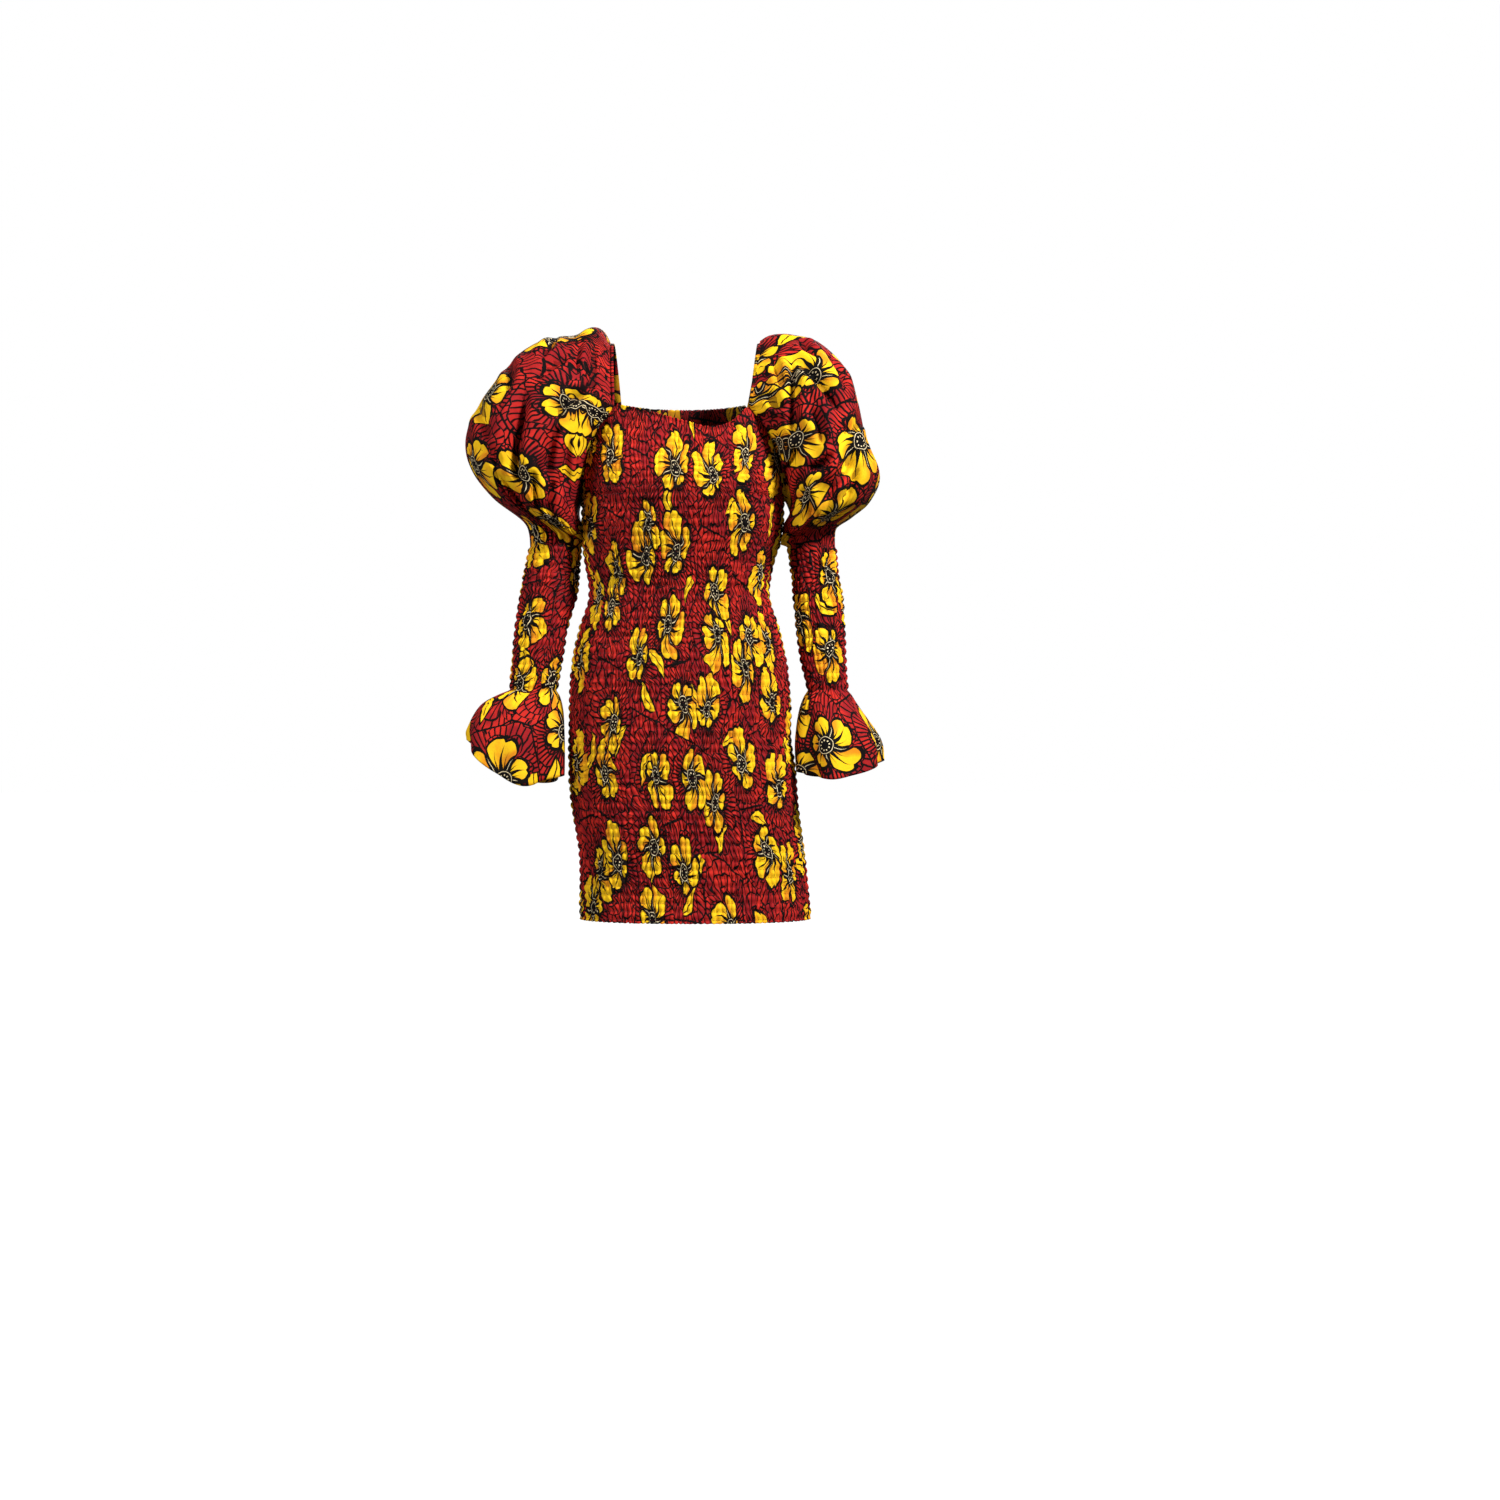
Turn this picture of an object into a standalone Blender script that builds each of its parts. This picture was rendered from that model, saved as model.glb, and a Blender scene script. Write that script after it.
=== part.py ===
"""A short puff sleeve dress, shirred all over the body and the forearms.

The dress is worn by nobody here, but keeps the hollow form it has on a figure. It is four cut
pieces: a front, a back and two one-piece sleeves, each a closed cloth wall. Sizes are in
millimetres until the last step, which makes metres. +Z is up, the front faces -Y, and the origin
lies between the shoulders at the height where the neck edges rest on them.
"""

import math
from collections import namedtuple

import bmesh
import bpy
import numpy as np

# Driving sizes, in millimetres
HEM_Z = -789.0
UNDERARM_Z = -217.0
SHOULDER_X = 99.0
FRONT_CORNER_Z = -95.0
BACK_CORNER_Z = -78.0
WALL = 1.7
SHIRRED_INNER = 3.0
ROW_GROOVE = 1.6
ROW_RIDGE = 2.8
ROW_EDGE = 2.0
SEAM_GAP = 0.3
SECTION_POWER = 2.2

# Counts
ROWS_BELOW_ARM = 51
FRONT_ROWS_ABOVE = 11
BACK_ROWS_ABOVE = 12
FOREARM_ROWS = 18
PANEL_COLUMNS = 14
PANEL_INNER_STEPS = 17
PUFF_COLUMNS = 24
FOREARM_COLUMNS = 12
PUFF_STEPS = 11
FLARE_STEPS = 4
FOREARM_INNER_STEPS = 9
NECK_EDGE_POINTS = 9

# Outside of the body at each height: how far it reaches to each side, forward and back
Body = namedtuple("Body", "z centre_x half_width front back")
BODY = [
    Body(-789, 13, 160, 104, 102),
    Body(-768, 12, 159, 102, 101),
    Body(-700, 8, 156, 103, 103),
    Body(-640, -1, 157, 105, 109),
    Body(-590, -5, 157, 106, 114),
    Body(-547, -8, 154, 106, 116),
    Body(-492, -8, 153, 104, 112),
    Body(-436, -9, 148, 101, 102),
    Body(-392, -9, 138, 97, 91),
    Body(-348, -9, 125, 94, 84),
    Body(-303, -9, 131, 99, 86),
    Body(-270, -6, 138, 106, 90),
    Body(-217, -4, 140, 115, 95),
    Body(-180, -4, 141, 112, 95),
    Body(-140, -4, 136, 100, 92),
    Body(-95, -4, 124, 86, 86),
    Body(-70, -4, 119, 80, 83),
]

# How far round from the side seam the armhole has come, from the underarm to the neck corner
Armhole = namedtuple("Armhole", "share degrees")
ARMHOLE = [
    Armhole(0.0, 0.0),
    Armhole(0.05, 8.0),
    Armhole(0.14, 12.0),
    Armhole(0.3, 15.0),
    Armhole(0.5, 18.0),
    Armhole(0.7, 22.0),
    Armhole(0.85, 27.0),
    Armhole(1.0, 33.0),
]

# How far the front neckline drops below its corners, from the wearer's right to left
Neckline = namedtuple("Neckline", "across drop")
FRONT_NECKLINE = [
    Neckline(-1.0, 0.0),
    Neckline(-0.64, 5.0),
    Neckline(-0.4, 11.0),
    Neckline(-0.15, 18.0),
    Neckline(0.1, 24.0),
    Neckline(0.33, 29.0),
    Neckline(0.48, 29.0),
    Neckline(0.68, 23.0),
    Neckline(0.85, 12.0),
    Neckline(1.0, 0.0),
]
BACK_NECKLINE = [
    Neckline(-1.0, 0.0),
    Neckline(-0.5, 3.0),
    Neckline(0.0, 4.0),
    Neckline(0.5, 3.0),
    Neckline(1.0, 0.0),
]

# Rings of a sleeve. x runs outwards from the middle of the dress, depth is half the size in Y,
# and dip is how far the front and the back of the ring hang below its sides.
Ring = namedtuple("Ring", "in_x in_z out_x out_z y depth dip", defaults=[0])
LEFT_PUFF = [
    Ring(139, -219, 106, 3, 0, 80),
    Ring(142, -226, 120, 14, 0, 86),
    Ring(144, -234, 151, 11, 0, 98),
    Ring(145, -241, 191, 1, 0, 107),
    Ring(145, -248, 226, -34, 0, 114),
    Ring(145, -254, 240, -75, 0, 118),
    Ring(145, -259, 252, -127, 0, 117),
    Ring(144, -263, 270, -176, 0, 110),
    Ring(143, -266, 256, -215, 0, 94),
    Ring(142, -269, 232, -236, 0, 70),
    Ring(140, -273, 207, -255, 0, 44),
    Ring(139, -281, 208, -281, 0, 37),
]
LEFT_FOREARM = [
    Ring(139, -281, 208, -281, 0, 37),
    Ring(145, -314, 211, -314, -1, 37),
    Ring(148, -348, 217, -348, -3, 36),
    Ring(152, -392, 220, -392, -6, 35),
    Ring(158, -436, 221, -436, -10, 33),
    Ring(167, -478, 224, -478, -14, 30),
]
LEFT_FLARE = [
    Ring(167, -478, 224, -478, -14, 30),
    Ring(157, -506, 241, -505, -17, 43),
    Ring(153, -548, 266, -545, -21, 55, 4),
    Ring(156, -590, 270, -576, -24, 59, 16),
]
RIGHT_PUFF = [
    Ring(147, -219, 107, 4, 0, 80),
    Ring(149, -226, 122, 33, 0, 86),
    Ring(150, -234, 150, 14, 0, 99),
    Ring(151, -241, 188, 9, 0, 109),
    Ring(151, -248, 228, -13, 0, 118),
    Ring(151, -254, 258, -47, 0, 123),
    Ring(151, -259, 290, -93, 0, 124),
    Ring(150, -263, 304, -136, 0, 118),
    Ring(149, -266, 295, -175, 0, 104),
    Ring(148, -269, 264, -214, 0, 80),
    Ring(145, -273, 220, -249, 0, 48),
    Ring(144, -281, 217, -281, 0, 38),
]
RIGHT_FOREARM = [
    Ring(144, -281, 217, -281, 0, 38),
    Ring(147, -314, 224, -314, -1, 38),
    Ring(150, -348, 230, -348, -3, 37),
    Ring(163, -392, 236, -392, -6, 36),
    Ring(170, -436, 240, -436, -10, 34),
    Ring(177, -478, 243, -478, -14, 32),
]
RIGHT_FLARE = [
    Ring(177, -478, 243, -478, -14, 32),
    Ring(169, -504, 281, -498, -17, 47),
    Ring(168, -543, 299, -531, -21, 60, 9),
    Ring(169, -594, 299, -548, -24, 64, 33),
]

# The largest folds of each puff. Angles run from the underarm over the front to the top.
Fold = namedtuple("Fold", "degrees drift half_degrees start end depth")
LEFT_FOLDS = [
    Fold(78, -6, 22, 0.12, 0.78, 16),
    Fold(122, -22, 24, 0.3, 0.95, 17),
    Fold(165, 12, 22, 0.2, 0.7, 10),
    Fold(225, 10, 26, 0.15, 0.9, 16),
    Fold(285, 5, 24, 0.2, 0.95, 15),
]
RIGHT_FOLDS = [
    Fold(112, -30, 24, 0.3, 0.98, 22),
    Fold(60, 0, 22, 0.15, 0.85, 13),
    Fold(180, 10, 18, 0.08, 0.4, 11),
    Fold(232, 10, 26, 0.15, 0.9, 17),
    Fold(290, 0, 24, 0.2, 0.95, 15),
]
HEAD_GATHER_DEPTH = 3.4
ELBOW_GATHER_DEPTH = 2.0
FLARE_WAVES = 6
FLARE_WAVE_DEPTH = 6.0

# Shares of the puff's length over which the head seam shapes it, and where its gathers fade
HEAD_SHARE = 0.16
HEAD_GATHER_SHARE = 0.22
ELBOW_GATHER_FROM = 0.72
ELBOW_GATHER_RISE = 0.18
ELBOW_GATHER_FALL = 0.05
# How much of the folds and gathers there is next to the body. Away from it there is all of them.
INNER_SIDE_FULLNESS = 0.15
FOLD_END_STEEPNESS = 1.6
# How the neck edge's cloth faces, and how fast it climbs from its corners to the shoulder
NECK_EDGE_OUTWARD = (0.93, 0.0, 0.36)
NECK_EDGE_CLIMB = 0.8
COLLAR_RISE = 1.0
PINCH_HIGH, PINCH_LOW = 0.2, -0.3
SECTION_SAMPLES = 241
SHARP_DEGREES = 50

Panel = namedtuple("Panel", "name facing depth corner_z rows_above neckline")
FRONT = Panel("front_panel", -1, "front", FRONT_CORNER_Z, FRONT_ROWS_ABOVE, FRONT_NECKLINE)
BACK = Panel("back_panel", 1, "back", BACK_CORNER_Z, BACK_ROWS_ABOVE, BACK_NECKLINE)

Sleeve = namedtuple("Sleeve", "name side puff forearm flare folds")
LEFT = Sleeve("sleeve_left", 1, LEFT_PUFF, LEFT_FOREARM, LEFT_FLARE, LEFT_FOLDS)
RIGHT = Sleeve("sleeve_right", -1, RIGHT_PUFF, RIGHT_FOREARM, RIGHT_FLARE, RIGHT_FOLDS)

CLOTH_COLOUR = (0.36, 0.022, 0.02, 1.0)
CLOTH_ROUGHNESS = 0.72


def smooth(share):
    """Rises from 0 to 1 with no corner at either end."""
    share = np.clip(share, 0.0, 1.0)
    return share * share * (3.0 - 2.0 * share)


def through(keys, values, at):
    """A smooth curve through the values at those keys, read at one or more places."""
    keys, values = np.asarray(keys, float), np.asarray(values, float)
    slopes = np.gradient(values, keys)
    at = np.clip(np.asarray(at, float), keys[0], keys[-1])
    k = np.clip(np.searchsorted(keys, at, side="right") - 1, 0, len(keys) - 2)
    step = keys[k + 1] - keys[k]
    f = (at - keys[k]) / step
    return (
        values[k] * (1 + 2 * f) * (1 - f) ** 2
        + values[k + 1] * f * f * (3 - 2 * f)
        + slopes[k] * step * f * (1 - f) ** 2
        - slopes[k + 1] * step * f * f * (1 - f)
    )


def column(table, name):
    return [getattr(row, name) for row in table]


def body_size(name, z):
    return float(through(column(BODY, "z"), column(BODY, name), z))


def unit(vectors):
    return vectors / np.linalg.norm(vectors, axis=-1, keepdims=True)


def lengths_along(points):
    """How far along a row of points each one lies."""
    return np.concatenate([[0], np.cumsum(np.linalg.norm(np.diff(points, axis=0), axis=1))])


def section(panel, z, angles):
    """Points of the panel's inner face at height z, each at its angle from the middle."""
    wide = body_size("half_width", z) - SHIRRED_INNER
    deep = body_size(panel.depth, z) - SHIRRED_INNER
    across = np.abs(np.sin(angles) / wide) ** SECTION_POWER
    forward = np.abs(np.cos(angles) / deep) ** SECTION_POWER
    reach = (across + forward) ** (-1 / SECTION_POWER)
    x = body_size("centre_x", z) + reach * np.sin(angles)
    return np.stack([x, panel.facing * reach * np.cos(angles)], axis=1)


def edge_angle(panel, z):
    """Half the turn that a panel takes at height z, up to its side seam or armhole."""
    gap = SEAM_GAP / 2 / body_size("half_width", z)
    share = (z - UNDERARM_Z) / (panel.corner_z - UNDERARM_Z)
    if share <= 0:
        return math.pi / 2 - gap
    turn = through(column(ARMHOLE, "share"), column(ARMHOLE, "degrees"), share)
    return math.pi / 2 - gap - math.radians(float(turn))


def panel_row(panel, z, across):
    """Inner points and outward directions across a panel at height z, evenly spaced round it."""
    limit = edge_angle(panel, z)
    fine = np.linspace(-limit, limit, SECTION_SAMPLES)
    along = lengths_along(section(panel, z, fine))
    angles = np.interp((across + 1) / 2 * along[-1], along, fine)
    tangent = section(panel, z, angles + 1e-4) - section(panel, z, angles - 1e-4)
    out = np.stack([-tangent[:, 1], tangent[:, 0]], axis=1) * panel.facing
    return section(panel, z, angles), unit(out)


def panel_heights(panel):
    """Heights of the shirring stitches and of the puffs between them, hem to neck corner."""
    below = np.linspace(HEM_Z, UNDERARM_Z, 2 * ROWS_BELOW_ARM + 1)
    above = np.linspace(UNDERARM_Z, panel.corner_z, 2 * panel.rows_above + 1)
    return np.concatenate([below, above[1:]])


def panel_points(panel, z, lift):
    """A row of points across the panel, each standing out by its lift."""
    across = np.linspace(-1, 1, PANEL_COLUMNS + 1)
    inner, out = panel_row(panel, z, across)
    drop = through(column(panel.neckline, "across"), column(panel.neckline, "drop"), across)
    lowered = z - drop * smooth((z - UNDERARM_Z) / (panel.corner_z - UNDERARM_Z))
    return np.column_stack([inner + out * lift[:, None], lowered])


def shirred_lift(i):
    """Relief of the shirring: a groove at each stitched row, a puff between, flat at the seams."""
    lift = np.full(PANEL_COLUMNS + 1, ROW_GROOVE)
    if i % 2:
        pinched = (np.arange(PANEL_COLUMNS + 1) + i // 2) % 2
        lift = ROW_RIDGE + np.where(pinched, PINCH_HIGH, PINCH_LOW)
    lift[[0, -1]] = ROW_EDGE
    return lift


class Wall:
    """A cloth wall made from rows of points, which ends as one closed mesh."""

    def __init__(self):
        self.mesh = bmesh.new()

    def row(self, points):
        return [self.mesh.verts.new(point) for point in points]

    def strip(self, first, second, closed=False):
        """Faces between two rows, which need not have as many points."""
        if closed:
            first, second = first + first[:1], second + second[:1]
        if len(first) == len(second):
            for corners in zip(first, first[1:], second[1:], second):
                self.mesh.faces.new(corners)
            return
        first_at = lengths_along(np.array([point.co[:] for point in first]))
        second_at = lengths_along(np.array([point.co[:] for point in second]))
        first_at, second_at = first_at / first_at[-1], second_at / second_at[-1]
        i = j = 0
        while i < len(first) - 1 or j < len(second) - 1:
            if j == len(second) - 1 or (i < len(first) - 1 and first_at[i + 1] <= second_at[j + 1]):
                self.mesh.faces.new((first[i], first[i + 1], second[j]))
                i += 1
            else:
                self.mesh.faces.new((first[i], second[j + 1], second[j]))
                j += 1

    def strips(self, rows, closed=False):
        for first, second in zip(rows, rows[1:]):
            self.strip(first, second, closed)

    def finish(self, name):
        bmesh.ops.recalc_face_normals(self.mesh, faces=self.mesh.faces[:])
        if self.mesh.calc_volume(signed=True) < 0:
            bmesh.ops.reverse_faces(self.mesh, faces=self.mesh.faces[:])
        bmesh.ops.scale(self.mesh, vec=(0.001, 0.001, 0.001), verts=self.mesh.verts[:])
        data = bpy.data.meshes.new(name)
        self.mesh.to_mesh(data)
        self.mesh.free()
        data.materials.append(cloth(name + "_cloth"))
        data.shade_smooth()
        data.set_sharp_from_angle(angle=math.radians(SHARP_DEGREES))
        obj = bpy.data.objects.new(name, data)
        bpy.context.scene.collection.objects.link(obj)


def make_panel(panel):
    """A shirred panel: rows of relief outside, plain inside, finer beside the armholes."""
    heights = panel_heights(panel)
    underarm, steps = 2 * ROWS_BELOW_ARM, PANEL_INNER_STEPS
    inner_below = np.linspace(HEM_Z, UNDERARM_Z, steps + 1)[:-1]
    inner_heights = np.concatenate([inner_below, heights[underarm:]])
    plain = np.zeros(PANEL_COLUMNS + 1)
    wall = Wall()
    outer = [wall.row(panel_points(panel, z, shirred_lift(i))) for i, z in enumerate(heights)]
    inner = [wall.row(panel_points(panel, z, plain)) for z in inner_heights]
    wall.strips(outer)
    wall.strips(inner)
    wall.strip(outer[0], inner[0])
    wall.strip(outer[-1], inner[-1])
    for edge in (0, -1):
        outer_edge = [row[edge] for row in outer]
        inner_edge = [row[edge] for row in inner]
        wall.strip(outer_edge[: underarm + 1], inner_edge[: steps + 1])
        wall.strip(outer_edge[underarm:], inner_edge[steps:])
    wall.finish(panel.name)


def armhole_edge(panel, side):
    """Points of an armhole seam from the underarm up, with the outward direction at each."""
    heights = np.linspace(UNDERARM_Z, panel.corner_z, 2 * panel.rows_above + 1)
    points, outward = [], []
    for z in heights:
        inner, out = panel_row(panel, z, np.array([float(side)]))
        points.append([*inner[0], z])
        outward.append([*out[0], 0.0])
    return np.array(points), np.array(outward)


def neck_edge(start, end, side):
    """The elastic edge of a sleeve, over the shoulder from the front corner to the back one."""
    turn = np.linspace(0, math.pi, NECK_EDGE_POINTS + 2)[1:-1]
    share = (1 - np.cos(turn)) / 2
    climb = np.sin(turn) ** NECK_EDGE_CLIMB
    straight = start + (end - start) * share[:, None]
    x = straight[:, 0] + (side * SHOULDER_X - straight[:, 0]) * climb
    return np.column_stack([x, straight[:, 1], straight[:, 2] * (1 - climb)])


def sleeve_opening(side):
    """The loop where a sleeve starts: up the front armhole, over the shoulder, down the back."""
    front, front_out = armhole_edge(FRONT, side)
    back, back_out = armhole_edge(BACK, side)
    apex = (front[:1] + back[:1]) / 2
    edge = neck_edge(front[-1], back[-1], side)
    loop = np.concatenate([apex, front[1:], edge, back[:0:-1]])
    over = np.tile(np.array(NECK_EDGE_OUTWARD) * (side, 1, 1), (len(edge), 1))
    outward = unit(np.concatenate([front_out, over, back_out[:0:-1]]))
    tangent = unit(np.roll(loop, -1, axis=0) - np.roll(loop, 1, axis=0))
    inward = unit(np.cross(tangent, outward))
    inward *= np.sign(((loop.mean(axis=0) - loop) * inward).sum(axis=1))[:, None]
    return loop, outward, inward


def even_round(loop, count):
    """The loop read at evenly spaced places from its first point, so that halves stay halves."""
    closed = np.concatenate([loop, loop[:1]])
    along = lengths_along(closed)
    at = np.arange(count) / count * along[-1]
    return np.stack([np.interp(at, along, closed[:, k]) for k in range(3)], axis=1)


def ring_points(table, share, side, turns):
    """Points round a sleeve at a share of the way along a table of rings."""
    keys = np.arange(len(table))
    at = share * keys[-1]
    get = Ring(*[float(through(keys, column(table, name), at)) for name in Ring._fields])
    inner = np.array([side * get.in_x, get.y, get.in_z])
    outer = np.array([side * get.out_x, get.y, get.out_z])
    centre, half = (inner + outer) / 2, (outer - inner) / 2
    ring = centre - np.cos(turns)[:, None] * half
    ring[:, 1] -= get.depth * np.sin(turns)
    ring[:, 2] -= get.dip * np.sin(turns) ** 2
    return ring


def from_middle(ring):
    return unit(ring - ring.mean(axis=0))


def fold_depth(folds, turns, share):
    """How far the cloth is drawn in by the large folds, round the puff at a share of its length."""
    drawn = np.zeros(len(turns))
    for fold in folds:
        middle = math.radians(fold.degrees + fold.drift * share)
        away = np.abs((turns - middle + math.pi) % (2 * math.pi) - math.pi)
        across = smooth(1 - away / math.radians(fold.half_degrees))
        ends = min(share - fold.start, fold.end - share) / ((fold.end - fold.start) / 2)
        drawn += fold.depth * across * smooth(ends * FOLD_END_STEEPNESS)
    return drawn


def puff_ring(sleeve, share, turns, start_loop):
    """Outer points of the puff at a share of its length, with its gathers and folds."""
    flat = ring_points(sleeve.puff, share, sleeve.side, turns)
    blend = float(smooth(share / HEAD_SHARE))
    ring = start_loop * (1 - blend) + flat * blend
    roomy = INNER_SIDE_FULLNESS + (1 - INNER_SIDE_FULLNESS) * np.sin(turns / 2) ** 2
    at_head = HEAD_GATHER_DEPTH * smooth(1 - share / HEAD_GATHER_SHARE)
    rise = smooth((share - ELBOW_GATHER_FROM) / ELBOW_GATHER_RISE)
    at_elbow = ELBOW_GATHER_DEPTH * rise * smooth((1 - share) / ELBOW_GATHER_FALL)
    gathers = (at_head + at_elbow) * np.cos(turns * PUFF_COLUMNS / 2)
    moved = roomy * (gathers - fold_depth(sleeve.folds, turns, share))
    return ring + from_middle(flat) * moved[:, None]


def flare_ring(sleeve, share, turns):
    """Outer points of the flared cuff, which waves more towards its hem."""
    flat = ring_points(sleeve.flare, share, sleeve.side, turns)
    waves = FLARE_WAVE_DEPTH * smooth(share) * np.sin(turns * FLARE_WAVES)
    return flat + from_middle(flat) * waves[:, None]


def forearm_ring(sleeve, share, turns, inside):
    """Points of the forearm that far inside its outline."""
    ring = ring_points(sleeve.forearm, share, sleeve.side, turns)
    return ring - from_middle(ring) * inside


def thinned(rings):
    """The same rings moved in by the cloth's thickness, square to the cloth."""
    grid = np.array(rings)
    along = np.gradient(grid, axis=0)
    across = np.roll(grid, -1, axis=1) - np.roll(grid, 1, axis=1)
    square = unit(np.cross(along, across))
    middle = grid.mean(axis=1, keepdims=True)
    square *= np.sign(((middle - grid) * square).sum(axis=2).mean())
    return list(grid + square * WALL)


def make_sleeve(sleeve):
    """A sleeve from the armhole down: seam foot, puff, shirred forearm, flared cuff."""
    wide = np.arange(PUFF_COLUMNS) / PUFF_COLUMNS * 2 * math.pi
    slim = np.arange(FOREARM_COLUMNS) / FOREARM_COLUMNS * 2 * math.pi
    loop, outward, inward = sleeve_opening(sleeve.side)
    foot = loop + inward * SEAM_GAP
    collar = foot + outward * (SHIRRED_INNER + COLLAR_RISE)
    start_loop = even_round(collar, PUFF_COLUMNS)
    puff_shares = np.linspace(0, 1, PUFF_STEPS + 1)[1:]
    puff = [puff_ring(sleeve, share, wide, start_loop) for share in puff_shares]
    shirred = []
    for i, share in enumerate(np.linspace(0, 1, 2 * FOREARM_ROWS + 1)):
        lift = ROW_RIDGE if i % 2 else ROW_GROOVE
        shirred.append(forearm_ring(sleeve, share, slim, SHIRRED_INNER - lift))
    flare_shares = np.linspace(0, 1, FLARE_STEPS + 1)[1:]
    flare = [flare_ring(sleeve, share, wide) for share in flare_shares]

    inner_shares = np.linspace(0, 1, FOREARM_INNER_STEPS + 1)
    plain = [forearm_ring(sleeve, share, slim, SHIRRED_INNER) for share in inner_shares]
    wrist = ring_points(sleeve.forearm, 1.0, sleeve.side, wide)
    puff_inner = thinned([start_loop, *puff])[1:-1]
    flare_inner = thinned([wrist, *flare])[1:]
    inner_rings = [foot + inward * WALL, collar + inward * WALL, *puff_inner, *plain, *flare_inner]

    wall = Wall()
    outer = [wall.row(points) for points in [foot, collar, *puff, *shirred[1:], *flare]]
    inner = [wall.row(points) for points in inner_rings]
    wall.strips(outer, closed=True)
    wall.strips(inner, closed=True)
    wall.strip(outer[0], inner[0], closed=True)
    wall.strip(outer[-1], inner[-1], closed=True)
    wall.finish(sleeve.name)


def cloth(name):
    material = bpy.data.materials.new(name)
    material.use_nodes = True
    shader = material.node_tree.nodes["Principled BSDF"]
    shader.inputs["Base Color"].default_value = CLOTH_COLOUR
    shader.inputs["Roughness"].default_value = CLOTH_ROUGHNESS
    shader.inputs["Metallic"].default_value = 0.0
    return material


def main():
    for obj in list(bpy.data.objects):
        bpy.data.objects.remove(obj)
    for panel in (FRONT, BACK):
        make_panel(panel)
    for sleeve in (LEFT, RIGHT):
        make_sleeve(sleeve)


main()
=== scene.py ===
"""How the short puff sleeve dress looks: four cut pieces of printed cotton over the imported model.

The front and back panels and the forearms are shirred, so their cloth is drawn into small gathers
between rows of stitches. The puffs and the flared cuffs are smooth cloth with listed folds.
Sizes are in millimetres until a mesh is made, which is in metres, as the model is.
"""

import math
from collections import namedtuple

import bmesh
import bpy
import numpy as np
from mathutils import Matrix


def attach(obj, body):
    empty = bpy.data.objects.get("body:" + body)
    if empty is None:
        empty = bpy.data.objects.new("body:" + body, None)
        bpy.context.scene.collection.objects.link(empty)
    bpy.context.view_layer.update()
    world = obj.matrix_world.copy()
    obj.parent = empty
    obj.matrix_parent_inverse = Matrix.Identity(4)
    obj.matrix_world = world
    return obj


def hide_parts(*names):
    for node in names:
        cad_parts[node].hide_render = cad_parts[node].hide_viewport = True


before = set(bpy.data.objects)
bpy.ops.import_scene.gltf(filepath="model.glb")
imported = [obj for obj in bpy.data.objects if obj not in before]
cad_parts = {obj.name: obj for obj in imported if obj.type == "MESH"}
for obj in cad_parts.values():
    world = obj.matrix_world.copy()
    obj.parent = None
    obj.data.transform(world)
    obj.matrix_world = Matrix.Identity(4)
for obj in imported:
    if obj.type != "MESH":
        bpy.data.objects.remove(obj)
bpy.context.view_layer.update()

MM = 0.001

# The dress's own sizes. The solids have the same, except that their front neckline lies up to 5 mm
# higher, since it has no frill. Their gathers are coarser, and they have no creases.
HEM_Z = -789.0
UNDERARM_Z = -217.0
SHOULDER_X = 99.0
FRONT_CORNER_Z = -95.0
BACK_CORNER_Z = -78.0
# How far the plain inner face of a shirred wall lies inside the form that the tables give
SHIRRED_INNER = 3.0
# How far a panel's outer face lies over its inner one at its edges
PANEL_EDGE_LIFT = 2.0
# How far the pieces lap over one another where they are sewn together
SEAM_LAP = 0.5
# The body's section is an ellipse at 2 and squarer above it
SECTION_POWER = 2.2
ROWS_BELOW_ARM = 51
FRONT_ROWS_ABOVE = 11
BACK_ROWS_ABOVE = 12
FOREARM_ROWS = 18

# How finely the cloth is made
STEPS_PER_ROW = 4
PANEL_COLUMNS = 336
PANEL_LINING_EVERY = 4
SLEEVE_COLUMNS = 288
SLEEVE_LINING_EVERY = 3
PUFF_STEPS = 120
FLARE_STEPS = 40
NECK_EDGE_POINTS = 60
SECTION_SAMPLES = 721
TANGENT_STEP = 1e-4

# Shirring: the gathers of a row, the flat cloth that they take up, and their heights
PANEL_GATHERS = 60
PANEL_CUT_WIDTH = 590.0
FOREARM_GATHERS = 32
FOREARM_CUT_RATIO = 2.0
CREST_SHARE = 0.6
LENGTH_TAKEN_UP = 1.04
VALLEY_LIFT = 0.1
STITCHED_HEIGHT = 1.5
PUFFED_HEIGHT = 4.3
PUFFED_ROUNDNESS = 0.75
GATHER_SIZES = (0.55, 1.15)
CREST_ROUNDNESS = 0.7
GATHER_WANDER = 0.36
WANDER_WAVES = 7
WANDER_CARRIED = 0.72
WANDER_FRESH = 0.7
EDGE_FADE = 7.0
LINING_SINK = 0.6
# How far up a gather's side it crosses the plain form that it stands on
CREST_LEVEL = 0.6
# How much wider than that flat cloth a panel's print is laid out, as the real cut is wider
PANEL_PRINT_RATIO = 1.62
# How far the thread rides over the crests that it crosses, and where that places it over a wall's
# inner face, on the gathers and at a panel's flat edges
THREAD_RIDE = 0.25
THREAD_LIFT = VALLEY_LIFT + STITCHED_HEIGHT + THREAD_RIDE
THREAD_EDGE_LIFT = 2.3
# The frill left above the top stitched row and below the last one
FRILL = 4.5
FRILL_STEPS = 3
FRILL_FLARE = 1.6
FRILL_SCALLOP = 0.35
FRILL_AT_CORNERS = 0.03

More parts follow.
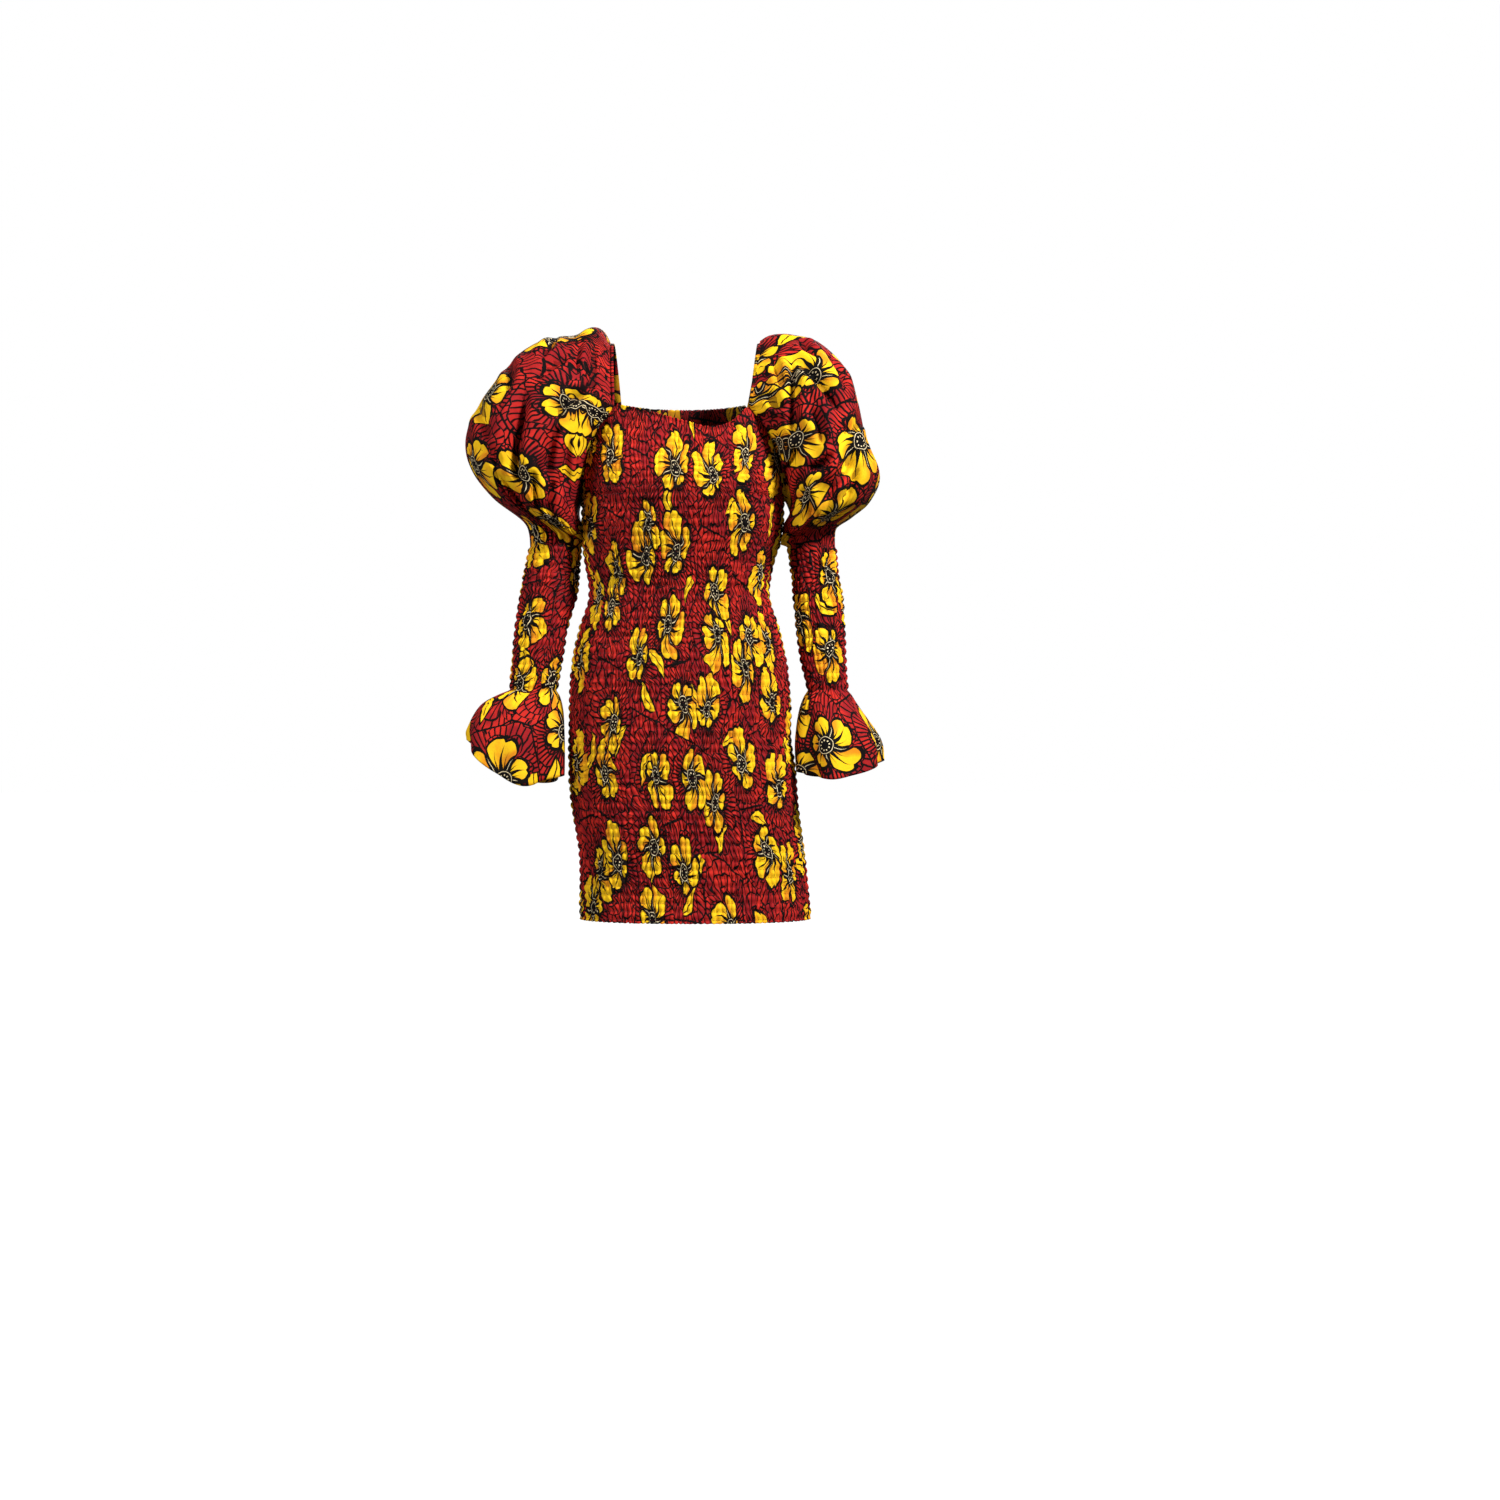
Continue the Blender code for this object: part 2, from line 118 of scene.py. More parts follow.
# The body by height: the x of its middle, half its width, and its depth in front and behind
Body = namedtuple("Body", "z centre_x half_width front back")
BODY = [
    Body(-789, 13, 160, 104, 102),
    Body(-768, 12, 159, 102, 101),
    Body(-700, 8, 156, 103, 103),
    Body(-640, -1, 157, 105, 109),
    Body(-590, -5, 157, 106, 114),
    Body(-547, -8, 154, 106, 116),
    Body(-492, -8, 153, 104, 112),
    Body(-436, -9, 148, 101, 102),
    Body(-392, -9, 138, 97, 91),
    Body(-348, -9, 125, 94, 84),
    Body(-303, -9, 131, 99, 86),
    Body(-270, -6, 138, 106, 90),
    Body(-217, -4, 140, 115, 95),
    Body(-180, -4, 141, 112, 95),
    Body(-140, -4, 136, 100, 92),
    Body(-95, -4, 124, 86, 86),
    Body(-70, -4, 119, 80, 83),
]

# How far an armhole has turned in from the body's side, by share of the way up from the underarm
Armhole = namedtuple("Armhole", "share degrees")
ARMHOLE = [
    Armhole(0.0, 0.0),
    Armhole(0.05, 8.0),
    Armhole(0.14, 12.0),
    Armhole(0.3, 15.0),
    Armhole(0.5, 18.0),
    Armhole(0.7, 22.0),
    Armhole(0.85, 27.0),
    Armhole(1.0, 33.0),
]

# How far a neckline drops, by its place across from -1 to 1
Neckline = namedtuple("Neckline", "across drop")
FRONT_NECKLINE = [
    Neckline(-1.0, 0.0),
    Neckline(-0.85, 4.0),
    Neckline(-0.64, 8.5),
    Neckline(-0.4, 15.0),
    Neckline(-0.15, 22.0),
    Neckline(0.1, 28.5),
    Neckline(0.33, 34.0),
    Neckline(0.48, 34.0),
    Neckline(0.68, 28.0),
    Neckline(0.85, 15.0),
    Neckline(1.0, 0.0),
]
BACK_NECKLINE = [
    Neckline(-1.0, 0.0),
    Neckline(-0.5, 3.0),
    Neckline(0.0, 4.0),
    Neckline(0.5, 3.0),
    Neckline(1.0, 0.0),
]

# Rings round the sleeves: their points nearest to the body and farthest from it, their middle's
# y, half their depth, and how far their front and back hang below that line
Ring = namedtuple("Ring", "in_x in_z out_x out_z y depth dip", defaults=[0])
LEFT_PUFF = [
    Ring(139, -219, 106, 3, 0, 80),
    Ring(142, -226, 120, 14, 0, 86),
    Ring(144, -234, 151, 11, 0, 98),
    Ring(145, -241, 191, 1, 0, 107),
    Ring(145, -248, 226, -34, 0, 114),
    Ring(145, -254, 240, -75, 0, 118),
    Ring(145, -259, 252, -127, 0, 117),
    Ring(144, -263, 270, -176, 0, 110),
    Ring(143, -266, 256, -215, 0, 94),
    Ring(142, -269, 232, -236, 0, 70),
    Ring(140, -273, 207, -255, 0, 44),
    Ring(139, -281, 208, -281, 0, 37),
]
LEFT_FOREARM = [
    Ring(139, -281, 208, -281, 0, 37),
    Ring(145, -314, 211, -314, -1, 37),
    Ring(148, -348, 217, -348, -3, 36),
    Ring(152, -392, 220, -392, -6, 35),
    Ring(158, -436, 221, -436, -10, 33),
    Ring(167, -478, 224, -478, -14, 30),
]
LEFT_FLARE = [
    Ring(167, -478, 224, -478, -14, 30),
    Ring(157, -506, 241, -505, -17, 43),
    Ring(153, -548, 266, -545, -21, 55, 4),
    Ring(156, -590, 270, -576, -24, 59, 16),
]
RIGHT_PUFF = [
    Ring(147, -219, 107, 4, 0, 80),
    Ring(149, -226, 122, 33, 0, 86),
    Ring(150, -234, 150, 14, 0, 99),
    Ring(151, -241, 188, 9, 0, 109),
    Ring(151, -248, 228, -13, 0, 118),
    Ring(151, -254, 258, -47, 0, 123),
    Ring(151, -259, 290, -93, 0, 124),
    Ring(150, -263, 304, -136, 0, 118),
    Ring(149, -266, 295, -175, 0, 104),
    Ring(148, -269, 264, -214, 0, 80),
    Ring(145, -273, 220, -249, 0, 48),
    Ring(144, -281, 217, -281, 0, 38),
]
RIGHT_FOREARM = [
    Ring(144, -281, 217, -281, 0, 38),
    Ring(147, -314, 224, -314, -1, 38),
    Ring(150, -348, 230, -348, -3, 37),
    Ring(163, -392, 236, -392, -6, 36),
    Ring(170, -436, 240, -436, -10, 34),
    Ring(177, -478, 243, -478, -14, 32),
]
RIGHT_FLARE = [
    Ring(177, -478, 243, -478, -14, 32),
    Ring(169, -504, 281, -498, -17, 47),
    Ring(168, -543, 299, -531, -21, 60, 9),
    Ring(169, -594, 299, -548, -24, 64, 33),
]

# The largest folds of each puff, which its solid has too. Angles run from the underarm over the
# front to the top. A fold runs from start to end, and drift is its turn over the whole puff.
Fold = namedtuple("Fold", "degrees drift half_degrees start end depth")
LEFT_FOLDS = [
    Fold(78, -6, 22, 0.12, 0.78, 16),
    Fold(122, -22, 24, 0.3, 0.95, 17),
    Fold(165, 12, 22, 0.2, 0.7, 10),
    Fold(225, 10, 26, 0.15, 0.9, 16),
    Fold(285, 5, 24, 0.2, 0.95, 15),
]
RIGHT_FOLDS = [
    Fold(112, -30, 24, 0.3, 0.98, 22),
    Fold(60, 0, 22, 0.15, 0.85, 13),
    Fold(180, 10, 18, 0.08, 0.4, 11),
    Fold(232, 10, 26, 0.15, 0.9, 17),
    Fold(290, 0, 24, 0.2, 0.95, 15),
]

# Creases, given one by one. Each runs through its points (x, z) as seen from that side, and fades
# over a share of its length at both ends. A low lip, placed by its width, lines its trough.
CREASE_END_SHARE = 0.3
TROUGH_SHARPNESS = 1.7
LIP_AT = 1.25
LIP_HALF_WIDTH = 0.9
LIP_HEIGHT = 0.22
Crease = namedtuple("Crease", "side width depth path")
RIGHT_CREASES = [
    Crease("front", 14, 22, [
        (-212, -62), (-217, -97), (-221, -120), (-227, -150), (-226, -182), (-214, -204), (-200, -224),
    ]),
    Crease("front", 8, 14, [(-124, 4), (-125, -20), (-126, -55), (-128, -88)]),
    Crease("front", 12, 17, [(-125, -82), (-148, -87), (-166, -105), (-170, -128)]),
    Crease("front", 11, 12, [(-205, -66), (-188, -52), (-172, -36), (-150, -28)]),
    Crease("front", 12, 16, [(-164, -118), (-176, -150), (-181, -176), (-184, -210)]),
    Crease("front", 10, 12, [(-176, 14), (-184, -12), (-196, -38)]),
    Crease("front", 9, 11, [(-199, -186), (-198, -214), (-195, -245)]),
    Crease("front", 9, 12, [(-172, -200), (-178, -226), (-183, -250)]),
    Crease("front", 11, 14, [(-256, -180), (-234, -212), (-210, -243)]),
    Crease("front", 14, 12, [(-288, -80), (-268, -118), (-260, -156)]),
    Crease("front", 12, 11, [(-246, -18), (-236, -52), (-240, -84)]),
    Crease("front", 10, 11, [(-150, -128), (-156, -160), (-160, -192), (-166, -226)]),
    Crease("front", 12, 9, [(-282, -150), (-256, -166), (-240, -190)]),
    Crease("front", 8, 8, [(-140, -2), (-146, -30), (-144, -58)]),
    Crease("back", 15, 20, [(-205, -50), (-214, -92), (-226, -140), (-216, -200)]),
    Crease("back", 13, 16, [(-140, -60), (-158, -104), (-172, -150), (-180, -210)]),
    Crease("back", 10, 12, [(-126, 2), (-130, -34), (-134, -74)]),
    Crease("back", 12, 14, [(-262, -96), (-262, -140), (-246, -190)]),
    Crease("back", 9, 11, [(-199, -200), (-197, -222), (-194, -244)]),
    Crease("back", 11, 11, [(-188, 4), (-196, -24), (-210, -44)]),
    Crease("back", 11, 11, [(-156, -150), (-162, -186), (-168, -226)]),
]
LEFT_CREASES = [
    Crease("front", 11, 17, [(144, -18), (146, -60), (146, -104), (147, -152)]),
    Crease("front", 12, 16, [(143, -26), (160, -42), (179, -60), (205, -98), (219, -112)]),
    Crease("front", 12, 16, [(233, -122), (229, -150), (222, -176), (206, -200), (182, -236)]),
    Crease("front", 10, 16, [(146, -148), (150, -168), (138, -188), (130, -218)]),
    Crease("front", 10, 14, [(164, -190), (186, -182), (204, -162)]),
    Crease("front", 9, 14, [(240, -172), (222, -212), (204, -236)]),
    Crease("front", 9, 12, [(118, -26), (128, -52), (136, -82)]),
    Crease("front", 9, 12, [(112, -78), (124, -96), (140, -106)]),
    Crease("front", 9, 12, [(158, -206), (166, -232), (172, -254)]),
    Crease("front", 9, 12, [(148, -214), (154, -238), (158, -260)]),
    Crease("front", 11, 14, [(192, -10), (212, -44), (224, -74)]),
    Crease("front", 11, 12, [(170, -100), (182, -128), (186, -158)]),
    Crease("front", 11, 11, [(246, -98), (232, -122), (214, -136)]),
    Crease("front", 9, 11, [(156, 4), (166, -16), (182, -30)]),
    Crease("back", 14, 18, [(150, -30), (160, -80), (172, -130), (180, -196)]),
    Crease("back", 13, 16, [(204, -40), (216, -92), (224, -140), (210, -204)]),
    Crease("back", 10, 12, [(122, -10), (128, -44), (134, -84)]),
    Crease("back", 10, 14, [(244, -150), (228, -190), (206, -228)]),
    Crease("back", 11, 11, [(186, 0), (192, -22), (206, -46)]),
    Crease("back", 10, 11, [(152, -150), (156, -186), (162, -228)]),
]
PANEL_CREASES = [
    Crease("front", 24, 3.0, [(-122, -212), (-84, -232), (-40, -236), (-6, -226)]),
    Crease("front", 24, 3.4, [(18, -228), (56, -238), (96, -226), (126, -204)]),
    Crease("front", 18, 2.2, [(-118, -330), (-70, -338), (-20, -333)]),
    Crease("front", 18, 2.2, [(24, -352), (66, -344), (106, -350)]),
    Crease("front", 22, 2.0, [(-136, -392), (-90, -408), (-50, -405)]),
    Crease("front", 26, 2.4, [(-60, -786), (-66, -740), (-58, -690)]),
    Crease("front", 26, 2.2, [(70, -786), (64, -736), (72, -700)]),
    Crease("back", 22, 3.0, [(-110, -330), (-50, -340), (10, -334), (80, -342)]),
    Crease("back", 20, 2.2, [(-100, -372), (-30, -380), (60, -374)]),
    Crease("back", 26, 2.2, [(-20, -786), (-14, -730), (-22, -690)]),
]

# The puff's head, where it is sewn on and its fullness drawn in. Lengths are shares of the puff's.
HEAD_SHARE = 0.16
HEAD_GATHERS = 40
HEAD_GATHER_SPREAD = 0.3
HEAD_GATHER_LENGTHS = (0.1, 0.42)
HEAD_GATHER_HEIGHTS = (2.0, 7.0)
HEAD_GATHER_OVERLAP = 1.15
HEAD_GATHER_SHARPNESS = 1.4
HEAD_GATHER_SINK = 0.75
HEAD_FLATTENING = 0.88
HEAD_FULLNESS = 0.35
SEWN_FULLNESS = 0.3
SEWN_LENGTH = 0.03
RUCHES = 78
RUCHE_LENGTH = 0.06
RUCHE_HEIGHT = 2.2
# How much of the folds and gathers there is next to the body, how steeply a fold ends, where the
# creases set in, and how those of the front and those of the back fade at the sides
INNER_SIDE_FULLNESS = 0.15
FOLD_END_STEEPNESS = 1.6
CREASES_FROM = (0.0, 0.06)
SIDES_BLEND = 0.4
# The puff's elbow, where its fullness is drawn in to the first stitched row. Each gather starts at
# its own share of the length, would be full at the same one, and eases off again about there.
ELBOW_GATHERS_FROM = (0.5, 0.8)
ELBOW_GATHERS_FULL = 0.86
ELBOW_GATHER_HEIGHTS = (4.0, 11.0)
ELBOW_EASING = 0.6
ELBOW_EASED = (0.84, 1.0)
ELBOW_JOIN = (0.93, 1.0)
# The flared cuff, by shares of its own length
WRIST_JOIN = 0.12
WRIST_GATHER_LENGTHS = (0.2, 0.75)
WRIST_GATHER_HEIGHT = 4.5
WRIST_GATHER_SINK = 0.85
WRIST_WALL_LENGTH = 0.6
FLARE_WAVES = 6
FLARE_WAVE_DEPTH = 6.0
# Where a puff's inner side rests towards the body: so far round it, growing and fading over these
# shares of its length
INNER_REST_DEGREES = 50
INNER_REST_FROM = (0.15, 0.45)
INNER_REST_TO = (0.92, 1.0)
# How far outside the panels' plain form a sleeve is held, from so far below the underarm
BESIDE_BODY = 0.5
BESIDE_FADE = 12.0
# How the neck edge's cloth faces, how fast it climbs from its corners to the shoulder, and how
# far over the panels' form the puff's first row stands
NECK_EDGE_OUTWARD = (0.93, 0.0, 0.36)
NECK_EDGE_CLIMB = 0.8
COLLAR_RISE = 1.0
# A sleeve's wall: where it is smooth, gathered, shirred, and how much is added at the wrist, and
# the shares of the puff's length over which it thickens
SLEEVE_WALL = 1.5
GATHERED_WALL = 3.2
SHIRRED_WALL = 0.6
WRIST_WALL = 1.4
WALL_SETS_IN = 0.04
HEAD_WALL_LENGTH = 0.3
ELBOW_WALL_FROM = (0.68, 0.93)
# How a puff's flat shape is found: every so many points, by so many rounds of small moves
EASING_EVERY = 4
EASING_ROUNDS = 900
EASING_STEP = 0.16
# Shares of the puff's length over which its cut widens, its rows grow firm and give way again,
# and it takes on the forearm's gathers, and the share of the cuff's that loses them again
CUT_WIDENS = (0.6, 1.0)
LEAST_FIRMNESS = 0.1
ROWS_FIRM_UP = (0.3, 0.5)
ROWS_GIVE_WAY = (0.95, 0.75)
ELBOW_BLEND = (0.85, 1.0)
FLARE_BLEND = 0.2

# print_from: where on the printed cloth a piece was cut
Panel = namedtuple("Panel", "name facing side depth corner_z rows_above neckline seed print_from")
FRONT = Panel(
    "front_panel", -1, "front", "front", FRONT_CORNER_Z, FRONT_ROWS_ABOVE, FRONT_NECKLINE,
    seed=11, print_from=(0, 0),
)
BACK = Panel(
    "back_panel", 1, "back", "back", BACK_CORNER_Z, BACK_ROWS_ABOVE, BACK_NECKLINE,
    seed=23, print_from=(1130, 270),
)

# flat_from and flat_to: the angles between which the neck edge lies flat, with few gathers.
# inner_rest: how far the puff's inner side is moved towards the body
Sleeve = namedtuple(
    "Sleeve",
    "name side puff forearm flare folds creases flat_from flat_to inner_rest seed print_from",
)
LEFT = Sleeve(
    "sleeve_left", 1, LEFT_PUFF, LEFT_FOREARM, LEFT_FLARE, LEFT_FOLDS, LEFT_CREASES,
    flat_from=0, flat_to=0, inner_rest=12, seed=37, print_from=(2950, 480),
)
RIGHT = Sleeve(
    "sleeve_right", -1, RIGHT_PUFF, RIGHT_FOREARM, RIGHT_FLARE, RIGHT_FOLDS, RIGHT_CREASES,
    flat_from=96, flat_to=196, inner_rest=9, seed=41, print_from=(3700, 2400),
)


def smooth(share):
    """Rises from 0 to 1 with no corner at either end."""
    share = np.clip(share, 0.0, 1.0)
    return share * share * (3.0 - 2.0 * share)


def ramp(value, start, end):
    """0 at start and 1 at end, with no corner at either."""
    return smooth((value - start) / (end - start))


def through(keys, values, at):
    """A smooth curve through the values at those keys, read at one or more places."""
    keys, values = np.asarray(keys, float), np.asarray(values, float)
    slopes = np.gradient(values, keys)
    at = np.clip(np.asarray(at, float), keys[0], keys[-1])
    k = np.clip(np.searchsorted(keys, at, side="right") - 1, 0, len(keys) - 2)
    step = keys[k + 1] - keys[k]
    f = (at - keys[k]) / step
    return (
        values[k] * (1 + 2 * f) * (1 - f) ** 2
        + values[k + 1] * f * f * (3 - 2 * f)
        + slopes[k] * step * f * (1 - f) ** 2
        - slopes[k + 1] * step * f * f * (1 - f)
    )


def column(table, name):
    return [getattr(row, name) for row in table]


def unit(vectors):
    return vectors / np.linalg.norm(vectors, axis=-1, keepdims=True)


def lengths_along(points):
    """How far along a row of points each one lies."""
    return np.concatenate([[0], np.cumsum(np.linalg.norm(np.diff(points, axis=0), axis=1))])


# The body's form


def body_size(name, z):
    return float(through(column(BODY, "z"), column(BODY, name), z))


def section(panel, z, angles):
    """Points of the panel's plain inner face at height z, each at its angle from the middle."""
    wide = body_size("half_width", z) - SHIRRED_INNER
    deep = body_size(panel.depth, z) - SHIRRED_INNER
    across = np.abs(np.sin(angles) / wide) ** SECTION_POWER
    forward = np.abs(np.cos(angles) / deep) ** SECTION_POWER
    reach = (across + forward) ** (-1 / SECTION_POWER)
    x = body_size("centre_x", z) + reach * np.sin(angles)
    return np.stack([x, panel.facing * reach * np.cos(angles)], axis=1)


def edge_angle(panel, z):
    """Half the turn that a panel takes at height z, up to its side seam or armhole."""
    lap = SEAM_LAP / 2 / body_size("half_width", z)
    share = (z - UNDERARM_Z) / (panel.corner_z - UNDERARM_Z)
    if share <= 0:
        return math.pi / 2 + lap
    turn = through(column(ARMHOLE, "share"), column(ARMHOLE, "degrees"), share)
    return math.pi / 2 + lap - math.radians(float(turn))


def panel_row(panel, z, across):
    """Inner points, outward directions and width round the panel at height z."""
    limit = edge_angle(panel, z)
    fine = np.linspace(-limit, limit, SECTION_SAMPLES)
    along = lengths_along(section(panel, z, fine))
    angles = np.interp((across + 1) / 2 * along[-1], along, fine)
    tangent = section(panel, z, angles + TANGENT_STEP) - section(panel, z, angles - TANGENT_STEP)
    out = np.stack([-tangent[:, 1], tangent[:, 0]], axis=1) * panel.facing
    return section(panel, z, angles), unit(out), along[-1]


def lowered(panel, z, across):
    """The height of a row once the neckline's drop has drawn it down."""
    drop = through(column(panel.neckline, "across"), column(panel.neckline, "drop"), across)
    return z - drop * smooth((z - UNDERARM_Z) / (panel.corner_z - UNDERARM_Z))


# Gathers and creases


def wander(dice, rows, at):
    """How far the gathers stray along each stitched row, partly carried on from the row before."""
    turns = 2 * math.pi * np.outer(np.arange(1, WANDER_WAVES + 1), at)
    drift = np.zeros((rows, len(at)))
    carried = dice.normal(size=(2, WANDER_WAVES))
    for row in drift:
        carried = WANDER_CARRIED * carried + WANDER_FRESH * dice.normal(size=(2, WANDER_WAVES))
        row += carried[0] @ np.sin(turns) + carried[1] @ np.cos(turns)
    return drift * GATHER_WANDER / math.sqrt(WANDER_WAVES)


def crest(cycles):
    """Across a gather: 1 on its round crest, 0 in the narrow valley beside it."""
    return np.abs(np.cos(math.pi * cycles)) ** CREST_ROUNDNESS


def sizes_at(sizes, cycles):
    """For each point, the size of the gather that it belongs to."""
    return sizes[np.round(cycles).astype(int) % len(sizes)]


def shirred_lift(cycles, heights, t):
    """Relief between two stitched rows, t of the way from one to the next."""
    puffed = math.sin(math.pi * t) ** PUFFED_ROUNDNESS * sizes_at(heights, cycles)
    return VALLEY_LIFT + (STITCHED_HEIGHT + (PUFFED_HEIGHT - STITCHED_HEIGHT) * puffed) * crest(cycles)


def cloth_across(cycles, per_gather):
    """Where on the flat cloth a point lies: the crest shows it whole, the valley takes the rest."""
    return per_gather * (cycles - CREST_SHARE / (2 * math.pi) * np.sin(2 * math.pi * cycles))


def crease_depth(creases, side, x, z):
    """How deep the hand-placed creases draw in points seen at x and z from that side."""
    drawn = np.zeros(np.shape(x))
    for crease in creases:
        if crease.side != side:
            continue
        path = np.array(crease.path, float)
        reach, place, gone = np.full(np.shape(x), np.inf), np.zeros(np.shape(x)), 0.0
        total = lengths_along(path)[-1]
        for start, end in zip(path, path[1:]):
            step = end - start
            long = float(np.hypot(*step))
            f = np.clip(((x - start[0]) * step[0] + (z - start[1]) * step[1]) / long**2, 0, 1)
            away = np.hypot(x - start[0] - f * step[0], z - start[1] - f * step[1])
            nearer = away < reach
            reach = np.where(nearer, away, reach)
            place = np.where(nearer, gone + f * long, place)
            gone += long
        share = place / total
        fade = smooth(np.minimum(share, 1 - share) / CREASE_END_SHARE)
        trough = np.clip(1 - reach / crease.width, 0, 1) ** TROUGH_SHARPNESS
        from_lip = np.abs(reach - LIP_AT * crease.width)
        lips = smooth(1 - from_lip / (LIP_HALF_WIDTH * crease.width))
        drawn += crease.depth * fade * (trough - LIP_HEIGHT * lips)
    return drawn


# Cloth as a closed shell


class Shell:
    """A cloth wall in progress. Each corner of a face carries its place on the flat cloth."""

    def __init__(self):
        self.points, self.count = [], 0
        self.faces, self.corners = [], []

    def grid(self, points, cloth, closed=False):
        """Adds rows of points. Returns their numbers and places, a closed row's first point twice."""
        rows, columns = points.shape[:2]
        number = np.arange(rows * columns).reshape(rows, columns) + self.count
        self.points.append(points.reshape(-1, 3))
        self.count += rows * columns
        if closed:
            number = np.concatenate([number, number[:, :1]], axis=1)
        return number, cloth

    def sheet(self, number, cloth):
        """Four-sided faces over a grid."""

        def around(grid):
            return np.stack([grid[:-1, :-1], grid[:-1, 1:], grid[1:, 1:], grid[1:, :-1]], axis=2)

        self.faces += around(number).reshape(-1, 4).tolist()
        self.corners.append(around(cloth).reshape(-1, 2))

    def strip(self, first, second):
        """Faces between two edges of a grid, which need not have as many points."""
        points = np.concatenate(self.points)
        (a, cloth_a), (b, cloth_b) = first, second
        along_a, along_b = lengths_along(points[a]), lengths_along(points[b])
        along_a, along_b = along_a / along_a[-1], along_b / along_b[-1]
        i = j = 0
        corners = []
        while i < len(a) - 1 or j < len(b) - 1:
            if j == len(b) - 1 or (i < len(a) - 1 and along_a[i + 1] <= along_b[j + 1]):
                self.faces.append([int(a[i]), int(a[i + 1]), int(b[j])])
                corners += [cloth_a[i], cloth_a[i + 1], cloth_b[j]]
                i += 1
            else:
                self.faces.append([int(a[i]), int(b[j + 1]), int(b[j])])
                corners += [cloth_a[i], cloth_b[j + 1], cloth_b[j]]
                j += 1
        self.corners.append(np.array(corners))

    def finish(self, name, material):
        """One closed mesh in metres, its faces outward, smooth, with its flat cloth as UV map.

        Its first grid is the right side of the cloth, and the points after it are the reverse.
        """
        data = bpy.data.meshes.new(name)
        data.from_pydata(np.concatenate(self.points) * MM, [], self.faces)
        # Marks the reverse side's points, which the material darkens as painted shade
        reverse = data.attributes.new("reverse", "FLOAT", "POINT")
        reverse.data.foreach_set("value", (np.arange(self.count) >= len(self.points[0])).astype(float))
        layer = data.uv_layers.new(name="cloth")
        layer.uv.foreach_set("vector", (np.concatenate(self.corners) * MM).ravel())
        mesh = bmesh.new()
        mesh.from_mesh(data)
        bmesh.ops.recalc_face_normals(mesh, faces=mesh.faces[:])
        if mesh.calc_volume(signed=True) < 0:
            bmesh.ops.reverse_faces(mesh, faces=mesh.faces[:])
        mesh.to_mesh(data)
        mesh.free()
        data.materials.append(material)
        data.shade_smooth()
        obj = bpy.data.objects.new(name, data)
        bpy.context.scene.collection.objects.link(obj)
        return obj


def flat_size(cloth):
    """Width, length and area in metres of the flat piece that a grid of cloth was cut as."""
    a, b = cloth[:-1, :-1] - cloth[1:, 1:], cloth[1:, :-1] - cloth[:-1, 1:]
    area = np.abs(a[..., 0] * b[..., 1] - a[..., 1] * b[..., 0]).sum() / 2
    span = cloth.reshape(-1, 2).max(axis=0) - cloth.reshape(-1, 2).min(axis=0)
    return (span[0] * MM, span[1] * MM), area * MM**2


Piece = namedtuple("Piece", "obj flat area threads")


